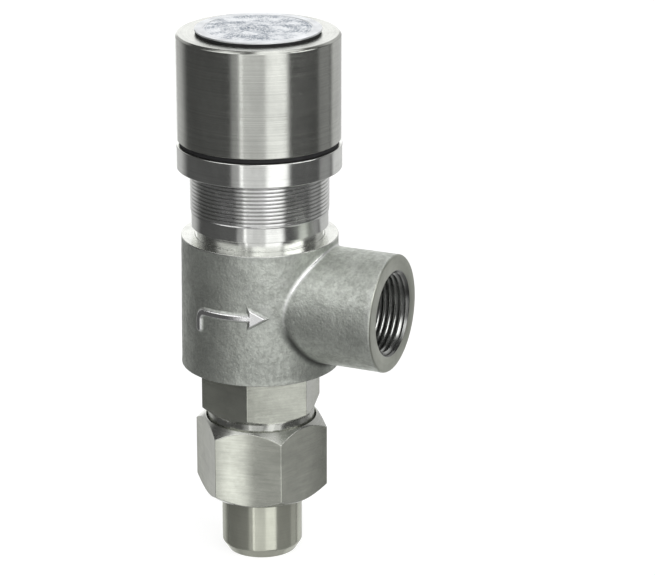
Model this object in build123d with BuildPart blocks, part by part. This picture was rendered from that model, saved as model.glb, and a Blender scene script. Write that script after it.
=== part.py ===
from build123d import *
from math import cos, pi, sin
import os

# Pressure relief valve, angle pattern, nominal size 25 mm, in stainless steel.
# The inlet is a weld nipple at the bottom, held against the seat nozzle by a union nut. The outlet
# is a G1 pipe thread in the side of the cast body. A spring inside the threaded sleeve holds a
# soft-seated disc on the nozzle. Turning the cap moves the upper spring button and so sets the
# pressure, and a lock ring below the cap holds the setting.
#
# Frame: millimetres, +Z up along the valve's axis, +X towards the outlet. The origin is the centre
# of the weld nipple's lower end. Every height is added up from there, in the order of assembly.

# ---- Clearances -------------------------------------------------------------------------------
run_gap = 0.05  # radial, between a turning or sliding piece and what guides it
free_gap = 0.3  # radial, between pieces that pass without guiding each other
drop_gap = 0.1  # radial, of a loose piece in its recess

# ---- Thread forms: crest and root flats and depths, as shares of the pitch ----------------------
crest_flat = 1 / 8
root_flat = 1 / 4
metric_depth = 0.6134
pipe_depth = 0.6403

# ---- Weld nipple --------------------------------------------------------------------------------
nipple_od = 32.0
nipple_wall = 3.5
weld_bevel_height = 3.5
weld_land = 1.4  # radial width of the flat end face
nipple_neck_step = 0.5  # radial, where the nipple is turned down inside the nut
nipple_neck_show = 0.5  # turned length below the nut
nipple_collar_height = 5.0
union_gasket_thickness = 2.0

# ---- Union nut ----------------------------------------------------------------------------------
nut_rise = 25.0  # weld end to the nut's lower face
nut_flange = 6.0  # thickness of the inner lip that lifts the nipple's collar
nut_gap = 2.7  # nut's upper face to the hexagon above it
nut_wall = 1.95  # threaded bore to the flats
nut_turn = 12.0  # degrees from the outlet's direction to the nearest corner
nut_corner_cut = 0.9  # radial width of the end faces' chamfer inside the flats
nut_top_slope = 0.9  # height over width of the upper corner chamfer
nut_bottom_slope = 0.76
mouth_width = 0.85  # radial width of the chamfer in the nut's mouth
mouth_depth = 1.5
union_thread_od = 42.0
union_thread_pitch = 2.0

# ---- Seat nozzle --------------------------------------------------------------------------------
spigot_end_bevel = 1.2
spigot_shank = 4.0  # plain length between the thread and the hexagon
spigot_length = 21.2  # lower face to the underside of the hexagon
hex_across_flats = 42.0
hex_height = 19.2
hex_turn = 42.0
hex_corner_cut = 0.9
hex_slope = 0.58  # height over width of the lower corner chamfer
nozzle_gasket_thickness = 0.8
nozzle_gasket_width = 2.5
stub_od = 36.0
throat_bore = 20.0
throat_taper = 9.0  # length over which the bore narrows from the nipple's to the throat's
seat_land = 1.6  # radial width of the seat
seat_step = 1.2  # how far the seat stands above the nose
nose_ledge = 2.9  # radial width of the nose outside the seat
nose_height = 7.0  # body floor to the seat

# ---- Body ---------------------------------------------------------------------------------------
body_top_od = 61.0
body_bottom_od = 62.0
body_floor = 13.0
body_edge = 0.4  # rounding of the turned outer edges
cavity_bore = 46.0
socket_ledge = 2.0  # radial width of the shoulder that the guide plate lies on
socket_depth = 14.0
outlet_foot = 3.8  # body underside to the outlet boss
outlet_head = 2.5  # outlet boss to the body's top
outlet_reach = 56.0  # valve axis to the outlet's face
outlet_wall = 6.375  # thread's major diameter to the boss's outside
outlet_blend = 2.0
outlet_edge = 0.4
outlet_mouth_depth = 1.6
outlet_mouth_relief = 0.1
outlet_thread_major = 33.25
outlet_thread_pitch = 2.309
outlet_thread_turns = 8
outlet_passage_bore = 22.5

# ---- Guide plate and bush -----------------------------------------------------------------------
guide_gasket_thickness = 0.8
guide_thickness = 4.0
skirt_wall = 3.95
skirt_length = 12.0
bush_wall = 2.2
bush_length = 5.5
vent_count = 4
vent_bore = 3.0

# ---- Disc and stem ------------------------------------------------------------------------------
disc_rim_wall = 0.6  # metal outside the seal
disc_height = 12.4
disc_rim_rise = 0.6  # seat to the disc's rim, which never touches it
seal_overlap = 0.7  # how far the seal reaches past the seat
seal_thickness = 3.0
seal_washer_od = 17.0
seal_washer_thickness = 1.5
screw_od = 5.0
screw_length = 7.5  # under the head
screw_head_od = 8.5
screw_head_height = 3.0
screw_socket = 4.0  # across flats
screw_socket_depth = 1.8
stem_od = 10.0
stem_pocket = 3.4  # depth of the stem's seat in the disc
stem_tip_od = 6.0
retainer_wire = 1.2  # spring wire ring that keeps the stem in the disc
retainer_split = 2.0  # opening between the ring's ends
retainer_drop = 1.1  # disc top to the ring
stem_collar_od = 17.0
stem_collar_height = 3.0
stem_collar_rise = 3.0  # guide plate to the collar
stem_end_bevel = 1.0

# ---- Spring and its buttons -----------------------------------------------------------------------
button_flange = 4.0
spigot_gap = 0.55  # radial, between a button's spigot and the spring
lower_spigot_height = 4.0
upper_spigot_height = 9.0
lower_button_gap = 1.5  # radial, between the lower button and the sleeve
spring_mean_od = 32.0
spring_wire = 4.5
spring_coils = 8.5
spring_bed = 1.5  # depth of the ground flat, taken off each end coil
spring_end_gap = 0.1  # between the closed end coils
spring_points = 12  # per coil, along the wire's centre line
upper_hub_od = 17.0
upper_hub_height = 7.0
button_web = 3.0  # wall between the ball's seat and the stem's bore
stem_headroom = 3.5  # left above the stem for the disc's lift
ball_od = 8.0
ball_seat_depth = 2.0

# ---- Sleeve ---------------------------------------------------------------------------------------
sleeve_gasket_thickness = 0.8
sleeve_bore = 42.0
sleeve_relief_step = 0.4  # radial, below the thread that holds the sleeve in the body
sleeve_relief_height = 4.0
sleeve_band_step = 0.3  # radial, below the outside thread
sleeve_band_height = 5.6
sleeve_thread_od = 54.0
sleeve_thread_pitch = 1.5
sleeve_top_bevel = 1.0
sleeve_headroom = 4.9  # sleeve's end to the cap's ceiling

# ---- Lock ring, its seal, the cap and its plate -----------------------------------------------------
ring_rise = 27.2  # body top to the lock ring
ring_wall = 4.95  # threaded bore to the outside
ring_height = 9.3
ring_edge = 0.5
ring_seal_thickness = 1.8
ring_seal_inset = 0.9  # how far the seal stays inside the cap's side
cap_wall = 4.55
cap_height = 41.4
cap_roof = 7.2
cap_top_edge = 0.9
cap_bottom_edge = 0.3
plate_margin = 7.35  # cap's side to the plate's edge
plate_thickness = 0.6
plate_edge = 0.15
pad_thickness = 1.0
pad_inset = 0.35

# ---- Heights, added up from the weld end --------------------------------------------------------
collar_z = nut_rise + nut_flange
union_gasket_z = collar_z + nipple_collar_height
nozzle_z = union_gasket_z + union_gasket_thickness
hex_z = nozzle_z + spigot_length
nut_top_z = hex_z - nut_gap
nozzle_gasket_z = hex_z + hex_height
body_z = nozzle_gasket_z + nozzle_gasket_thickness
floor_z = body_z + body_floor
seat_z = floor_z + nose_height
outlet_boss_radius = outlet_thread_major / 2 + outlet_wall
outlet_z = body_z + outlet_foot + outlet_boss_radius
body_top_z = outlet_z + outlet_boss_radius + outlet_head
shoulder_z = body_top_z - socket_depth
guide_z = shoulder_z + guide_gasket_thickness
sleeve_gasket_z = guide_z + guide_thickness
sleeve_z = sleeve_gasket_z + sleeve_gasket_thickness
band_z = body_top_z + sleeve_relief_height
thread_z = band_z + sleeve_band_height
ring_z = body_top_z + ring_rise
ring_seal_z = ring_z + ring_height
cap_z = ring_seal_z + ring_seal_thickness
cap_top_z = cap_z + cap_height
cap_ceiling_z = cap_top_z - cap_roof
sleeve_top_z = cap_ceiling_z - sleeve_headroom
plate_z = cap_top_z + pad_thickness

disc_z = seat_z + disc_rim_rise
seal_top_z = seat_z + seal_thickness
disc_top_z = disc_z + disc_height
stem_z = disc_top_z - stem_pocket
collar_on_stem_z = sleeve_gasket_z + stem_collar_rise
lower_button_z = collar_on_stem_z + stem_collar_height
spring_z = lower_button_z + button_flange

ball_z = cap_ceiling_z - ball_od
upper_hub_top_z = ball_z + ball_seat_depth
upper_flange_z = upper_hub_top_z - upper_hub_height - button_flange
upper_button_z = upper_flange_z - upper_spigot_height
stem_top_z = ball_z - button_web - stem_headroom
spring_length = upper_flange_z - spring_z

# ---- Radii, each from the piece that it fits ------------------------------------------------------
nipple_radius = nipple_od / 2
nipple_bore = nipple_od - 2 * nipple_wall
union_radius = union_thread_od / 2
union_root = union_radius - metric_depth * union_thread_pitch
collar_radius = union_root - free_gap
nut_bore_radius = union_radius + run_gap
nut_flat_radius = nut_bore_radius + nut_wall
stub_radius = stub_od / 2
seat_radius = throat_bore / 2 + seat_land
nose_radius = seat_radius + nose_ledge
cavity_radius = cavity_bore / 2
socket_radius = cavity_radius + socket_ledge
plate_fit_radius = socket_radius - drop_gap
seal_radius = seat_radius + seal_overlap
disc_radius = seal_radius + drop_gap + disc_rim_wall
skirt_bore_radius = disc_radius + run_gap
skirt_radius = skirt_bore_radius + skirt_wall
stem_radius = stem_od / 2
stem_bore_radius = stem_radius + run_gap
bush_radius = stem_bore_radius + bush_wall
spigot_radius = (spring_mean_od - spring_wire) / 2 - spigot_gap
sleeve_radius = sleeve_thread_od / 2
sleeve_root = sleeve_radius - metric_depth * sleeve_thread_pitch
ring_bore_radius = sleeve_radius + run_gap
ring_radius = ring_bore_radius + ring_wall
cap_radius = ring_bore_radius + cap_wall
plate_radius = cap_radius - plate_margin


# ---- Shared shapes ------------------------------------------------------------------------------
def turned(*profile):
    """A solid of revolution about the valve's axis, from (radius, height) points."""
    with BuildPart() as piece:
        with BuildSketch(Plane.XZ):
            with BuildLine():
                Polyline(*profile, close=True)
            make_face()
        revolve(axis=Axis.Z)
    return piece


def flat_ring(bore_radius, outer_radius, thickness, base):
    """A washer, gasket or plain ring that lies on the height base."""
    with BuildPart() as piece:
        with BuildSketch(Plane.XY.offset(base)):
            Circle(outer_radius)
            Circle(bore_radius, mode=Mode.SUBTRACT)
        extrude(amount=thickness)
    return piece


def ridges(crest, root, pitch, start, turns):
    """Points of a threaded outline: one flat crest and one flat root for each turn."""
    flank = (1 - crest_flat - root_flat) / 2 * pitch
    points = []
    for turn in range(turns):
        foot = start + turn * pitch
        groove = foot + crest_flat * pitch + flank
        points += [
            (crest, foot),
            (crest, foot + crest_flat * pitch),
            (root, groove),
            (root, groove + root_flat * pitch),
        ]
    return points + [(crest, start + turns * pitch)]


# ---- Weld nipple: a short pipe end with a collar for the union nut --------------------------------
weld_nipple = turned(
    (nipple_bore / 2, 0),
    (nipple_bore / 2 + weld_land, 0),
    (nipple_radius, weld_bevel_height),
    (nipple_radius, nut_rise - nipple_neck_show),
    (nipple_radius - nipple_neck_step, nut_rise - nipple_neck_show),
    (nipple_radius - nipple_neck_step, collar_z),
    (collar_radius, collar_z),
    (collar_radius, union_gasket_z),
    (nipple_bore / 2, union_gasket_z),
)
union_gasket = flat_ring(nipple_bore / 2, collar_radius, union_gasket_thickness, union_gasket_z)

# ---- Union nut: hexagon with turned corners, an inner lip at the bottom and a wide threaded bore ---
nut_corner_radius = nut_flat_radius / cos(pi / 6)
nut_face_radius = nut_flat_radius - nut_corner_cut
nut_chamfer_width = nut_corner_radius - nut_face_radius
with BuildPart() as union_nut:
    with BuildSketch(Plane.XY.offset(nut_rise)):
        RegularPolygon(nut_flat_radius, 6, major_radius=False, rotation=nut_turn)
    extrude(amount=nut_top_z - nut_rise)
    with BuildSketch(Plane.XZ):
        with BuildLine():
            Polyline(
                (nipple_radius + free_gap, nut_rise),
                (nut_face_radius, nut_rise),
                (nut_corner_radius, nut_rise + nut_chamfer_width * nut_bottom_slope),
                (nut_corner_radius, nut_top_z - nut_chamfer_width * nut_top_slope),
                (nut_face_radius, nut_top_z),
                (nut_bore_radius + mouth_width, nut_top_z),
                (nut_bore_radius, nut_top_z - mouth_depth),
                (nut_bore_radius, collar_z),
                (nipple_radius + free_gap, collar_z),
                close=True,
            )
        make_face()
    revolve(axis=Axis.Z, mode=Mode.INTERSECT)

# ---- Seat nozzle: union thread, hexagon, body thread and the seat, in one turned piece -------------
spigot_turns = round((spigot_length - spigot_end_bevel - spigot_shank) / union_thread_pitch)
hex_corner_radius = hex_across_flats / 2 / cos(pi / 6)
hex_face_radius = hex_across_flats / 2 - hex_corner_cut
hex_chamfer_width = hex_corner_radius - hex_face_radius
with BuildPart() as inlet_nozzle:
    with BuildSketch(Plane.XY.offset(hex_z)):
        RegularPolygon(hex_across_flats / 2, 6, major_radius=False, rotation=hex_turn)
    extrude(amount=hex_height)
    with BuildSketch(Plane.XZ):
        with BuildLine():
            Polyline(
                (0, hex_z),
                (hex_face_radius, hex_z),
                (hex_corner_radius, hex_z + hex_chamfer_width * hex_slope),
                (hex_corner_radius, nozzle_gasket_z),
                (0, nozzle_gasket_z),
                close=True,
            )
        make_face()
    revolve(axis=Axis.Z, mode=Mode.INTERSECT)
    with BuildSketch(Plane.XZ):
        with BuildLine():
            Polyline(
                (0, nozzle_z),
                (union_radius - spigot_end_bevel, nozzle_z),
                *ridges(union_radius, union_root, union_thread_pitch,
                        nozzle_z + spigot_end_bevel, spigot_turns),
                (union_radius, hex_z),
                (stub_radius, hex_z),
                (stub_radius, floor_z),
                (nose_radius, floor_z),
                (nose_radius, seat_z - seat_step),
                (seat_radius, seat_z - seat_step),
                (seat_radius, seat_z),
                (0, seat_z),
                close=True,
            )
        make_face()
    revolve(axis=Axis.Z)
    with BuildSketch(Plane.XZ):
        with BuildLine():
            Polyline(
                (0, nozzle_z),
                (nipple_bore / 2, nozzle_z),
                (throat_bore / 2, nozzle_z + throat_taper),
                (throat_bore / 2, seat_z),
                (0, seat_z),
                close=True,
            )
        make_face()
    revolve(axis=Axis.Z, mode=Mode.SUBTRACT)
nozzle_gasket = flat_ring(
    stub_radius, stub_radius + nozzle_gasket_width, nozzle_gasket_thickness, nozzle_gasket_z
)

# ---- Body: a cast barrel with the outlet boss on its side, bored from both ends --------------------
outlet_axis = Axis((0, 0, outlet_z), (1, 0, 0))
outlet_major_radius = outlet_thread_major / 2
outlet_minor_radius = outlet_major_radius - pipe_depth * outlet_thread_pitch
thread_end = outlet_reach - outlet_mouth_depth
thread_start = thread_end - outlet_thread_turns * outlet_thread_pitch
outlet_thread = ridges(
    outlet_minor_radius, outlet_major_radius, outlet_thread_pitch, thread_start, outlet_thread_turns
)
with BuildPart() as valve_body:
    with BuildSketch(Plane.XZ):
        with BuildLine():
            Polyline(
                (0, body_z),
                (body_bottom_od / 2, body_z),
                (body_top_od / 2, body_top_z),
                (0, body_top_z),
                close=True,
            )
        make_face()
    revolve(axis=Axis.Z)
    fillet(valve_body.edges().filter_by(GeomType.CIRCLE), radius=body_edge)
    with BuildSketch(Plane.YZ):
        with Locations((0, outlet_z)):
            Circle(outlet_boss_radius)
    extrude(amount=outlet_reach)
    seam = valve_body.edges(Select.NEW).filter_by(GeomType.BSPLINE)
    fillet(seam, radius=outlet_blend)
    chamfer(valve_body.faces().sort_by(Axis.X)[-1].edges(), length=outlet_edge)
    with BuildSketch(Plane.XZ):
        with BuildLine():
            Polyline(
                (0, body_z),
                (stub_radius + run_gap, body_z),
                (stub_radius + run_gap, floor_z),
                (cavity_radius, floor_z),
                (cavity_radius, shoulder_z),
                (socket_radius + run_gap, shoulder_z),
                (socket_radius + run_gap, body_top_z),
                (0, body_top_z),
                close=True,
            )
        make_face()
    revolve(axis=Axis.Z, mode=Mode.SUBTRACT)
    with BuildSketch(Plane.XZ):
        with BuildLine():
            Polyline(
                (0, outlet_z),
                (0, outlet_z + outlet_passage_bore / 2),
                (thread_start, outlet_z + outlet_passage_bore / 2),
                *[(along, outlet_z + radius) for radius, along in outlet_thread],
                (outlet_reach, outlet_z + outlet_major_radius + outlet_mouth_relief),
                (outlet_reach, outlet_z),
                close=True,
            )
        make_face()
    revolve(axis=outlet_axis, mode=Mode.SUBTRACT)

# ---- Guide plate: closes the cavity, guides the disc in its skirt and carries the stem bush ---------
guide_gasket = flat_ring(cavity_radius, plate_fit_radius, guide_gasket_thickness, shoulder_z)
with BuildPart() as guide_plate:
    with BuildSketch(Plane.XZ):
        with BuildLine():
            Polyline(
                (skirt_bore_radius, guide_z - skirt_length),
                (skirt_radius, guide_z - skirt_length),
                (skirt_radius, guide_z),
                (plate_fit_radius, guide_z),
                (plate_fit_radius, sleeve_gasket_z),
                (bush_radius, sleeve_gasket_z),
                (bush_radius, guide_z),
                (skirt_bore_radius, guide_z),
                close=True,
            )
        make_face()
    revolve(axis=Axis.Z)
    with BuildSketch(Plane.XY.offset(sleeve_gasket_z)):
        with PolarLocations((skirt_radius + cavity_radius) / 2, vent_count, start_angle=45):
            Circle(vent_bore / 2)
    extrude(amount=-guide_thickness, mode=Mode.SUBTRACT)
guide_bush = flat_ring(
    stem_bore_radius, bush_radius, bush_length, sleeve_gasket_z - bush_length
)
sleeve_gasket = flat_ring(
    sleeve_bore / 2, plate_fit_radius, sleeve_gasket_thickness, sleeve_gasket_z
)

# ---- Disc with its soft seal, held by a washer and a socket screw ----------------------------------
seal_bore_radius = screw_od / 2 + drop_gap
pocket_radius = stem_radius + free_gap
retainer_z = disc_top_z - retainer_drop - retainer_wire
with BuildPart() as valve_disc:
    with BuildSketch(Plane.XZ):
        with BuildLine():
            Polyline(
                (0, seal_top_z),
                (seal_radius + drop_gap, seal_top_z),
                (seal_radius + drop_gap, disc_z),
                (disc_radius, disc_z),
                (disc_radius, disc_top_z),
                (pocket_radius, disc_top_z),
                (pocket_radius, retainer_z + retainer_wire),
                (pocket_radius + retainer_wire / 2, retainer_z + retainer_wire),
                (pocket_radius + retainer_wire / 2, retainer_z),
                (pocket_radius, retainer_z),
                (pocket_radius, stem_z),
                (0, stem_z),
                close=True,
            )
        make_face()
    revolve(axis=Axis.Z)
    with BuildSketch(Plane.XY.offset(seal_top_z)):
        Circle(screw_od / 2)
    extrude(amount=screw_length - seal_thickness - seal_washer_thickness, mode=Mode.SUBTRACT)
disc_seal = flat_ring(seal_bore_radius, seal_radius, seal_thickness, seat_z)
seal_washer = flat_ring(
    seal_bore_radius, seal_washer_od / 2, seal_washer_thickness, seat_z - seal_washer_thickness
)

# ---- Seal screw: a short cap screw, driven from below ------------------------------------------------
screw_face_z = seat_z - seal_washer_thickness
with BuildPart() as seal_screw:
    with BuildSketch(Plane.XY.offset(screw_face_z)):
        Circle(screw_od / 2)
    extrude(amount=screw_length)
    with BuildSketch(Plane.XY.offset(screw_face_z)):
        Circle(screw_head_od / 2)
    extrude(amount=-screw_head_height)
    with BuildSketch(Plane.XY.offset(screw_face_z - screw_head_height)):
        RegularPolygon(screw_socket / 2, 6, major_radius=False)
    extrude(amount=screw_socket_depth, mode=Mode.SUBTRACT)

# ---- Stem: presses the disc, carries the lower button on its collar, slides in the upper button ----
stem_groove = stem_radius - retainer_wire / 2
stem = turned(
    (0, stem_z),
    (stem_tip_od / 2, stem_z),
    (stem_radius, stem_z + (stem_od - stem_tip_od) / 4),
    (stem_radius, retainer_z),
    (stem_groove, retainer_z),
    (stem_groove, retainer_z + retainer_wire),
    (stem_radius, retainer_z + retainer_wire),
    (stem_radius, collar_on_stem_z),
    (stem_collar_od / 2, collar_on_stem_z),
    (stem_collar_od / 2, lower_button_z),
    (stem_radius, lower_button_z),
    (stem_radius, stem_top_z - stem_end_bevel),
    (stem_radius - stem_end_bevel, stem_top_z),
    (0, stem_top_z),
)

# ---- Retainer: a split ring of spring wire in the groove between stem and disc ----------------------
retainer_outer = pocket_radius + retainer_wire / 2 - drop_gap
with BuildPart() as stem_retainer:
    with BuildSketch(Plane.XY.offset(retainer_z + drop_gap)):
        Circle(retainer_outer)
        Circle(stem_groove + drop_gap, mode=Mode.SUBTRACT)
        with Locations((retainer_outer, 0)):
            Rectangle(retainer_outer, retainer_split, mode=Mode.SUBTRACT)
    extrude(amount=retainer_wire - 2 * drop_gap)

# ---- Spring buttons, the thrust ball and the spring -------------------------------------------------
lower_spring_button = turned(
    (stem_bore_radius, lower_button_z),
    (sleeve_bore / 2 - lower_button_gap, lower_button_z),
    (sleeve_bore / 2 - lower_button_gap, spring_z),
    (spigot_radius, spring_z),
    (spigot_radius, spring_z + lower_spigot_height),
    (stem_bore_radius, spring_z + lower_spigot_height),
)
upper_spring_button = turned(
    (stem_bore_radius, upper_button_z),
    (spigot_radius, upper_button_z),
    (spigot_radius, upper_flange_z),
    (sleeve_bore / 2 - run_gap, upper_flange_z),
    (sleeve_bore / 2 - run_gap, upper_flange_z + button_flange),
    (upper_hub_od / 2, upper_flange_z + button_flange),
    (upper_hub_od / 2, upper_hub_top_z),
    (ball_od / 2 + drop_gap, upper_hub_top_z),
    (ball_od / 2 + drop_gap, ball_z),
    (0, ball_z),
    (0, stem_top_z + stem_headroom),
    (stem_bore_radius, stem_top_z + stem_headroom),
)
with BuildPart() as thrust_ball:
    with Locations((0, 0, ball_z + ball_od / 2)):
        Sphere(ball_od / 2)

spring_radius = spring_mean_od / 2
spring_rise = spring_length - spring_wire + 2 * spring_bed
end_slowing = 1 - spring_coils * (spring_wire + spring_end_gap) / spring_rise
spring_steps = round(spring_coils * spring_points)


def spring_point(share):
    """The wire's centre at a share of its length: the pitch grows from the closed ends inwards."""
    angle = 2 * pi * spring_coils * share
    rise = spring_rise * (share - end_slowing * sin(2 * pi * share) / (2 * pi))
    start = spring_z + spring_wire / 2 - spring_bed
    return (spring_radius * cos(angle), spring_radius * sin(angle), start + rise)


with BuildPart() as main_spring:
    with BuildLine() as coil:
        Spline(*[spring_point(step / spring_steps) for step in range(spring_steps + 1)])
    with BuildSketch(Plane(coil.line @ 0, z_dir=coil.line % 0)):
        Circle(spring_wire / 2)
    sweep(is_frenet=True)
    with BuildSketch(Plane.XY.offset(spring_z)):
        Circle(sleeve_bore / 2)
    extrude(amount=spring_length, mode=Mode.INTERSECT)

# ---- Sleeve: screwed into the body, threaded outside for the lock ring and the cap ------------------
sleeve_turns = round((sleeve_top_z - sleeve_top_bevel - thread_z) / sleeve_thread_pitch)
bonnet_sleeve = turned(
    (sleeve_bore / 2, sleeve_z),
    (socket_radius, sleeve_z),
    (socket_radius, body_top_z),
    (socket_radius - sleeve_relief_step, body_top_z),
    (socket_radius - sleeve_relief_step, band_z),
    (sleeve_radius - sleeve_band_step, band_z),
    (sleeve_radius - sleeve_band_step, thread_z),
    *ridges(sleeve_radius, sleeve_root, sleeve_thread_pitch, thread_z, sleeve_turns),
    (sleeve_radius - sleeve_top_bevel, sleeve_top_z),
    (sleeve_bore / 2, sleeve_top_z),
)

# ---- Lock ring with the rubber seal on top of it -----------------------------------------------------
with BuildPart() as lock_ring:
    with BuildSketch(Plane.XY.offset(ring_z)):
        Circle(ring_radius)
        Circle(ring_bore_radius, mode=Mode.SUBTRACT)
    extrude(amount=ring_height)
    outer_edges = lock_ring.edges().filter_by(GeomType.CIRCLE).group_by(SortBy.RADIUS)[-1]
    chamfer(outer_edges, length=ring_edge)
lock_ring_seal = flat_ring(
    sleeve_radius + free_gap, cap_radius - ring_seal_inset, ring_seal_thickness, ring_seal_z
)

# ---- Cap: a deep threaded cup, turned by hand to set the spring --------------------------------------
with BuildPart() as adjusting_cap:
    with BuildSketch(Plane.XY.offset(cap_z)):
        Circle(cap_radius)
    extrude(amount=cap_height)
    chamfer(adjusting_cap.edges().group_by(Axis.Z)[-1], length=cap_top_edge)
    chamfer(adjusting_cap.edges().group_by(Axis.Z)[0], length=cap_bottom_edge)
    with BuildSketch(Plane.XY.offset(cap_z)):
        Circle(ring_bore_radius)
    extrude(amount=cap_height - cap_roof, mode=Mode.SUBTRACT)
with BuildPart() as nameplate_pad:
    with BuildSketch(Plane.XY.offset(cap_top_z)):
        Circle(plate_radius - pad_inset)
    extrude(amount=pad_thickness)
with BuildPart() as nameplate:
    with BuildSketch(Plane.XY.offset(plate_z)):
        Circle(plate_radius)
    extrude(amount=plate_thickness)
    chamfer(nameplate.edges().group_by(Axis.Z)[-1], length=plate_edge)

# ---- One STEP file for each sub-part -----------------------------------------------------------------
pieces = {
    "weld_nipple": weld_nipple,
    "union_gasket": union_gasket,
    "union_nut": union_nut,
    "inlet_nozzle": inlet_nozzle,
    "nozzle_gasket": nozzle_gasket,
    "valve_body": valve_body,
    "guide_gasket": guide_gasket,
    "guide_plate": guide_plate,
    "guide_bush": guide_bush,
    "sleeve_gasket": sleeve_gasket,
    "valve_disc": valve_disc,
    "disc_seal": disc_seal,
    "seal_washer": seal_washer,
    "seal_screw": seal_screw,
    "stem": stem,
    "stem_retainer": stem_retainer,
    "lower_spring_button": lower_spring_button,
    "main_spring": main_spring,
    "upper_spring_button": upper_spring_button,
    "thrust_ball": thrust_ball,
    "bonnet_sleeve": bonnet_sleeve,
    "lock_ring": lock_ring,
    "lock_ring_seal": lock_ring_seal,
    "adjusting_cap": adjusting_cap,
    "nameplate_pad": nameplate_pad,
    "nameplate": nameplate,
}
os.makedirs("parts", exist_ok=True)
for name, piece in pieces.items():
    piece.part.label = name
    export_step(piece.part, f"parts/{name}.step")
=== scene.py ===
"""Looks of an angle-pattern pressure relief valve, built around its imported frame."""

import bmesh
import bpy
import numpy as np
from bpy.props import FloatProperty, FloatVectorProperty, IntProperty, PointerProperty
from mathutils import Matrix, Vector


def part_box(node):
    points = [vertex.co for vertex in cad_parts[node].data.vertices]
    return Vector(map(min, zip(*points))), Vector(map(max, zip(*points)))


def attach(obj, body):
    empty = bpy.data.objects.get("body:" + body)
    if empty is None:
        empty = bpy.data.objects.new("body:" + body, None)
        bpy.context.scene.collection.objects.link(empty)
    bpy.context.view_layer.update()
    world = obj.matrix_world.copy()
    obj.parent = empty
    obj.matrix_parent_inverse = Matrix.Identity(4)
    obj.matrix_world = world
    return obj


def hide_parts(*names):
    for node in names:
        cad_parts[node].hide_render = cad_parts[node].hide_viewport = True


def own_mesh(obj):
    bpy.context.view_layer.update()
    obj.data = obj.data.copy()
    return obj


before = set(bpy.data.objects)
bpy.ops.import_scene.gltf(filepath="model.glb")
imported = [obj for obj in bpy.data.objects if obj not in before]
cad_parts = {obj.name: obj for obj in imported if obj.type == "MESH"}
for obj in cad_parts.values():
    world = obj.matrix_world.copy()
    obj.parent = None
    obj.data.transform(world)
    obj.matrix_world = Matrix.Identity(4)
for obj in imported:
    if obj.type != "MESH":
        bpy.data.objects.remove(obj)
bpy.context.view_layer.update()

bl_info = {
    "name": "Pressure relief valve",
    "version": (1, 0, 0),
    "blender": (4, 5, 0),
    "location": "View3D > Sidebar > Valve",
    "description": "Builds the finished surfaces and materials of a pressure relief valve",
    "category": "Mesh",
}

MM = 0.001
TURN = 2 * np.pi
COLUMNS = 192  # round the big turned pieces
# Soft boxes: left, right, bottom, top, softness of the sides (degrees), brightness
STUDIO_CARDS = (
    (9, 42, -28, 30, 5, 1.0),
    (-12, 12, -45, 24, 3, 0.5),
    (-14, 12, 10, 30, 4, 1.5),
    (-20.5, -9, -45, 24, 2, 0.55),
    (-25.5, -20.5, -45, 24, 1.5, 1.1),
    (-38, -25.5, -45, 24, 2, 0.28),
    (46, 86, 12, 32, 5, 2.3),
    (-84, -30, 21, 66, 8, 1.2),
    (2, 42, 28, 60, 6, 1.1),
    (-8, 104, 54, 95, 8, 1.0),
    (-110, -30, -80, -50, 12, 0.3),
    (92, 118, -60, 12, 4, 0.22),
    (122, 200, -60, 60, 6, 0.46),
    (166, 200, -60, 60, 8, 0.95),
    (-200, -125, -60, 34, 18, 0.42),
    (-200, -156, -60, 34, 9, 0.95),
    (-140, -20, 72, 120, 12, 0.2),
    (-20, 220, 72, 120, 12, 0.6),
    (120, 200, 64, 120, 14, 1.4),
)
CARD_RISE = np.radians(5)  # softness of a soft box's lower and upper edge
GROUND_EDGE = (-64, -40)  # between these heights (degrees) the light from below dies down
GROUND_GLOW, DIM_GLOW = 0.3, 0.066  # brightness straight below, and between the soft boxes
FLOOR_PAINT, FLOOR_GLOW = 0.5, 0.78  # what the floor reflects of its colour, and its own white
WHITE = (1, 1, 1, 1)
SENSOR_WIDTH = 36  # millimetres, as the lens
FARTHEST = 20  # metres that the camera sees
WELD = 2e-7  # points nearer than this become one
SHARP = np.radians(30)  # edges that fold more than this stay crisp
HAIR = 0.01 * MM  # tells a face at a height from one just beside it
HOLD = 0.05 * MM  # the farthest that a wall's last row lies from a rounding
EASE_POINTS = 5  # rows in a rounding
RUN_OUT = 0.75  # share of a pitch over which a thread fades in


def low(node):
    """Height of a node's underside."""
    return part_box(node)[0].z


def high(node):
    """Height of a node's top."""
    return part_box(node)[1].z


def reach(node):
    """Outside radius of a turned node."""
    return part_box(node)[1].y


# ---- Sizes and colours ------------------------------------------------------------------------


def length(name, default, description):
    """A length that a user may change, in metres."""
    return FloatProperty(
        name=name, description=description, default=default, unit="LENGTH", precision=5
    )


def degrees(name, default, description):
    """An angle that a user may change, given in degrees."""
    return FloatProperty(
        name=name, description=description, default=np.radians(default), subtype="ANGLE"
    )


def slope(name, default, what):
    """A bevel's slope that a user may change."""
    return FloatProperty(name=name, description="Height over width of " + what, default=default)


def tint(name, default, description):
    """A linear colour that a user may change."""
    return FloatVectorProperty(
        name=name, description=description, default=default, subtype="COLOR", size=3, min=0, max=1
    )


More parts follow.
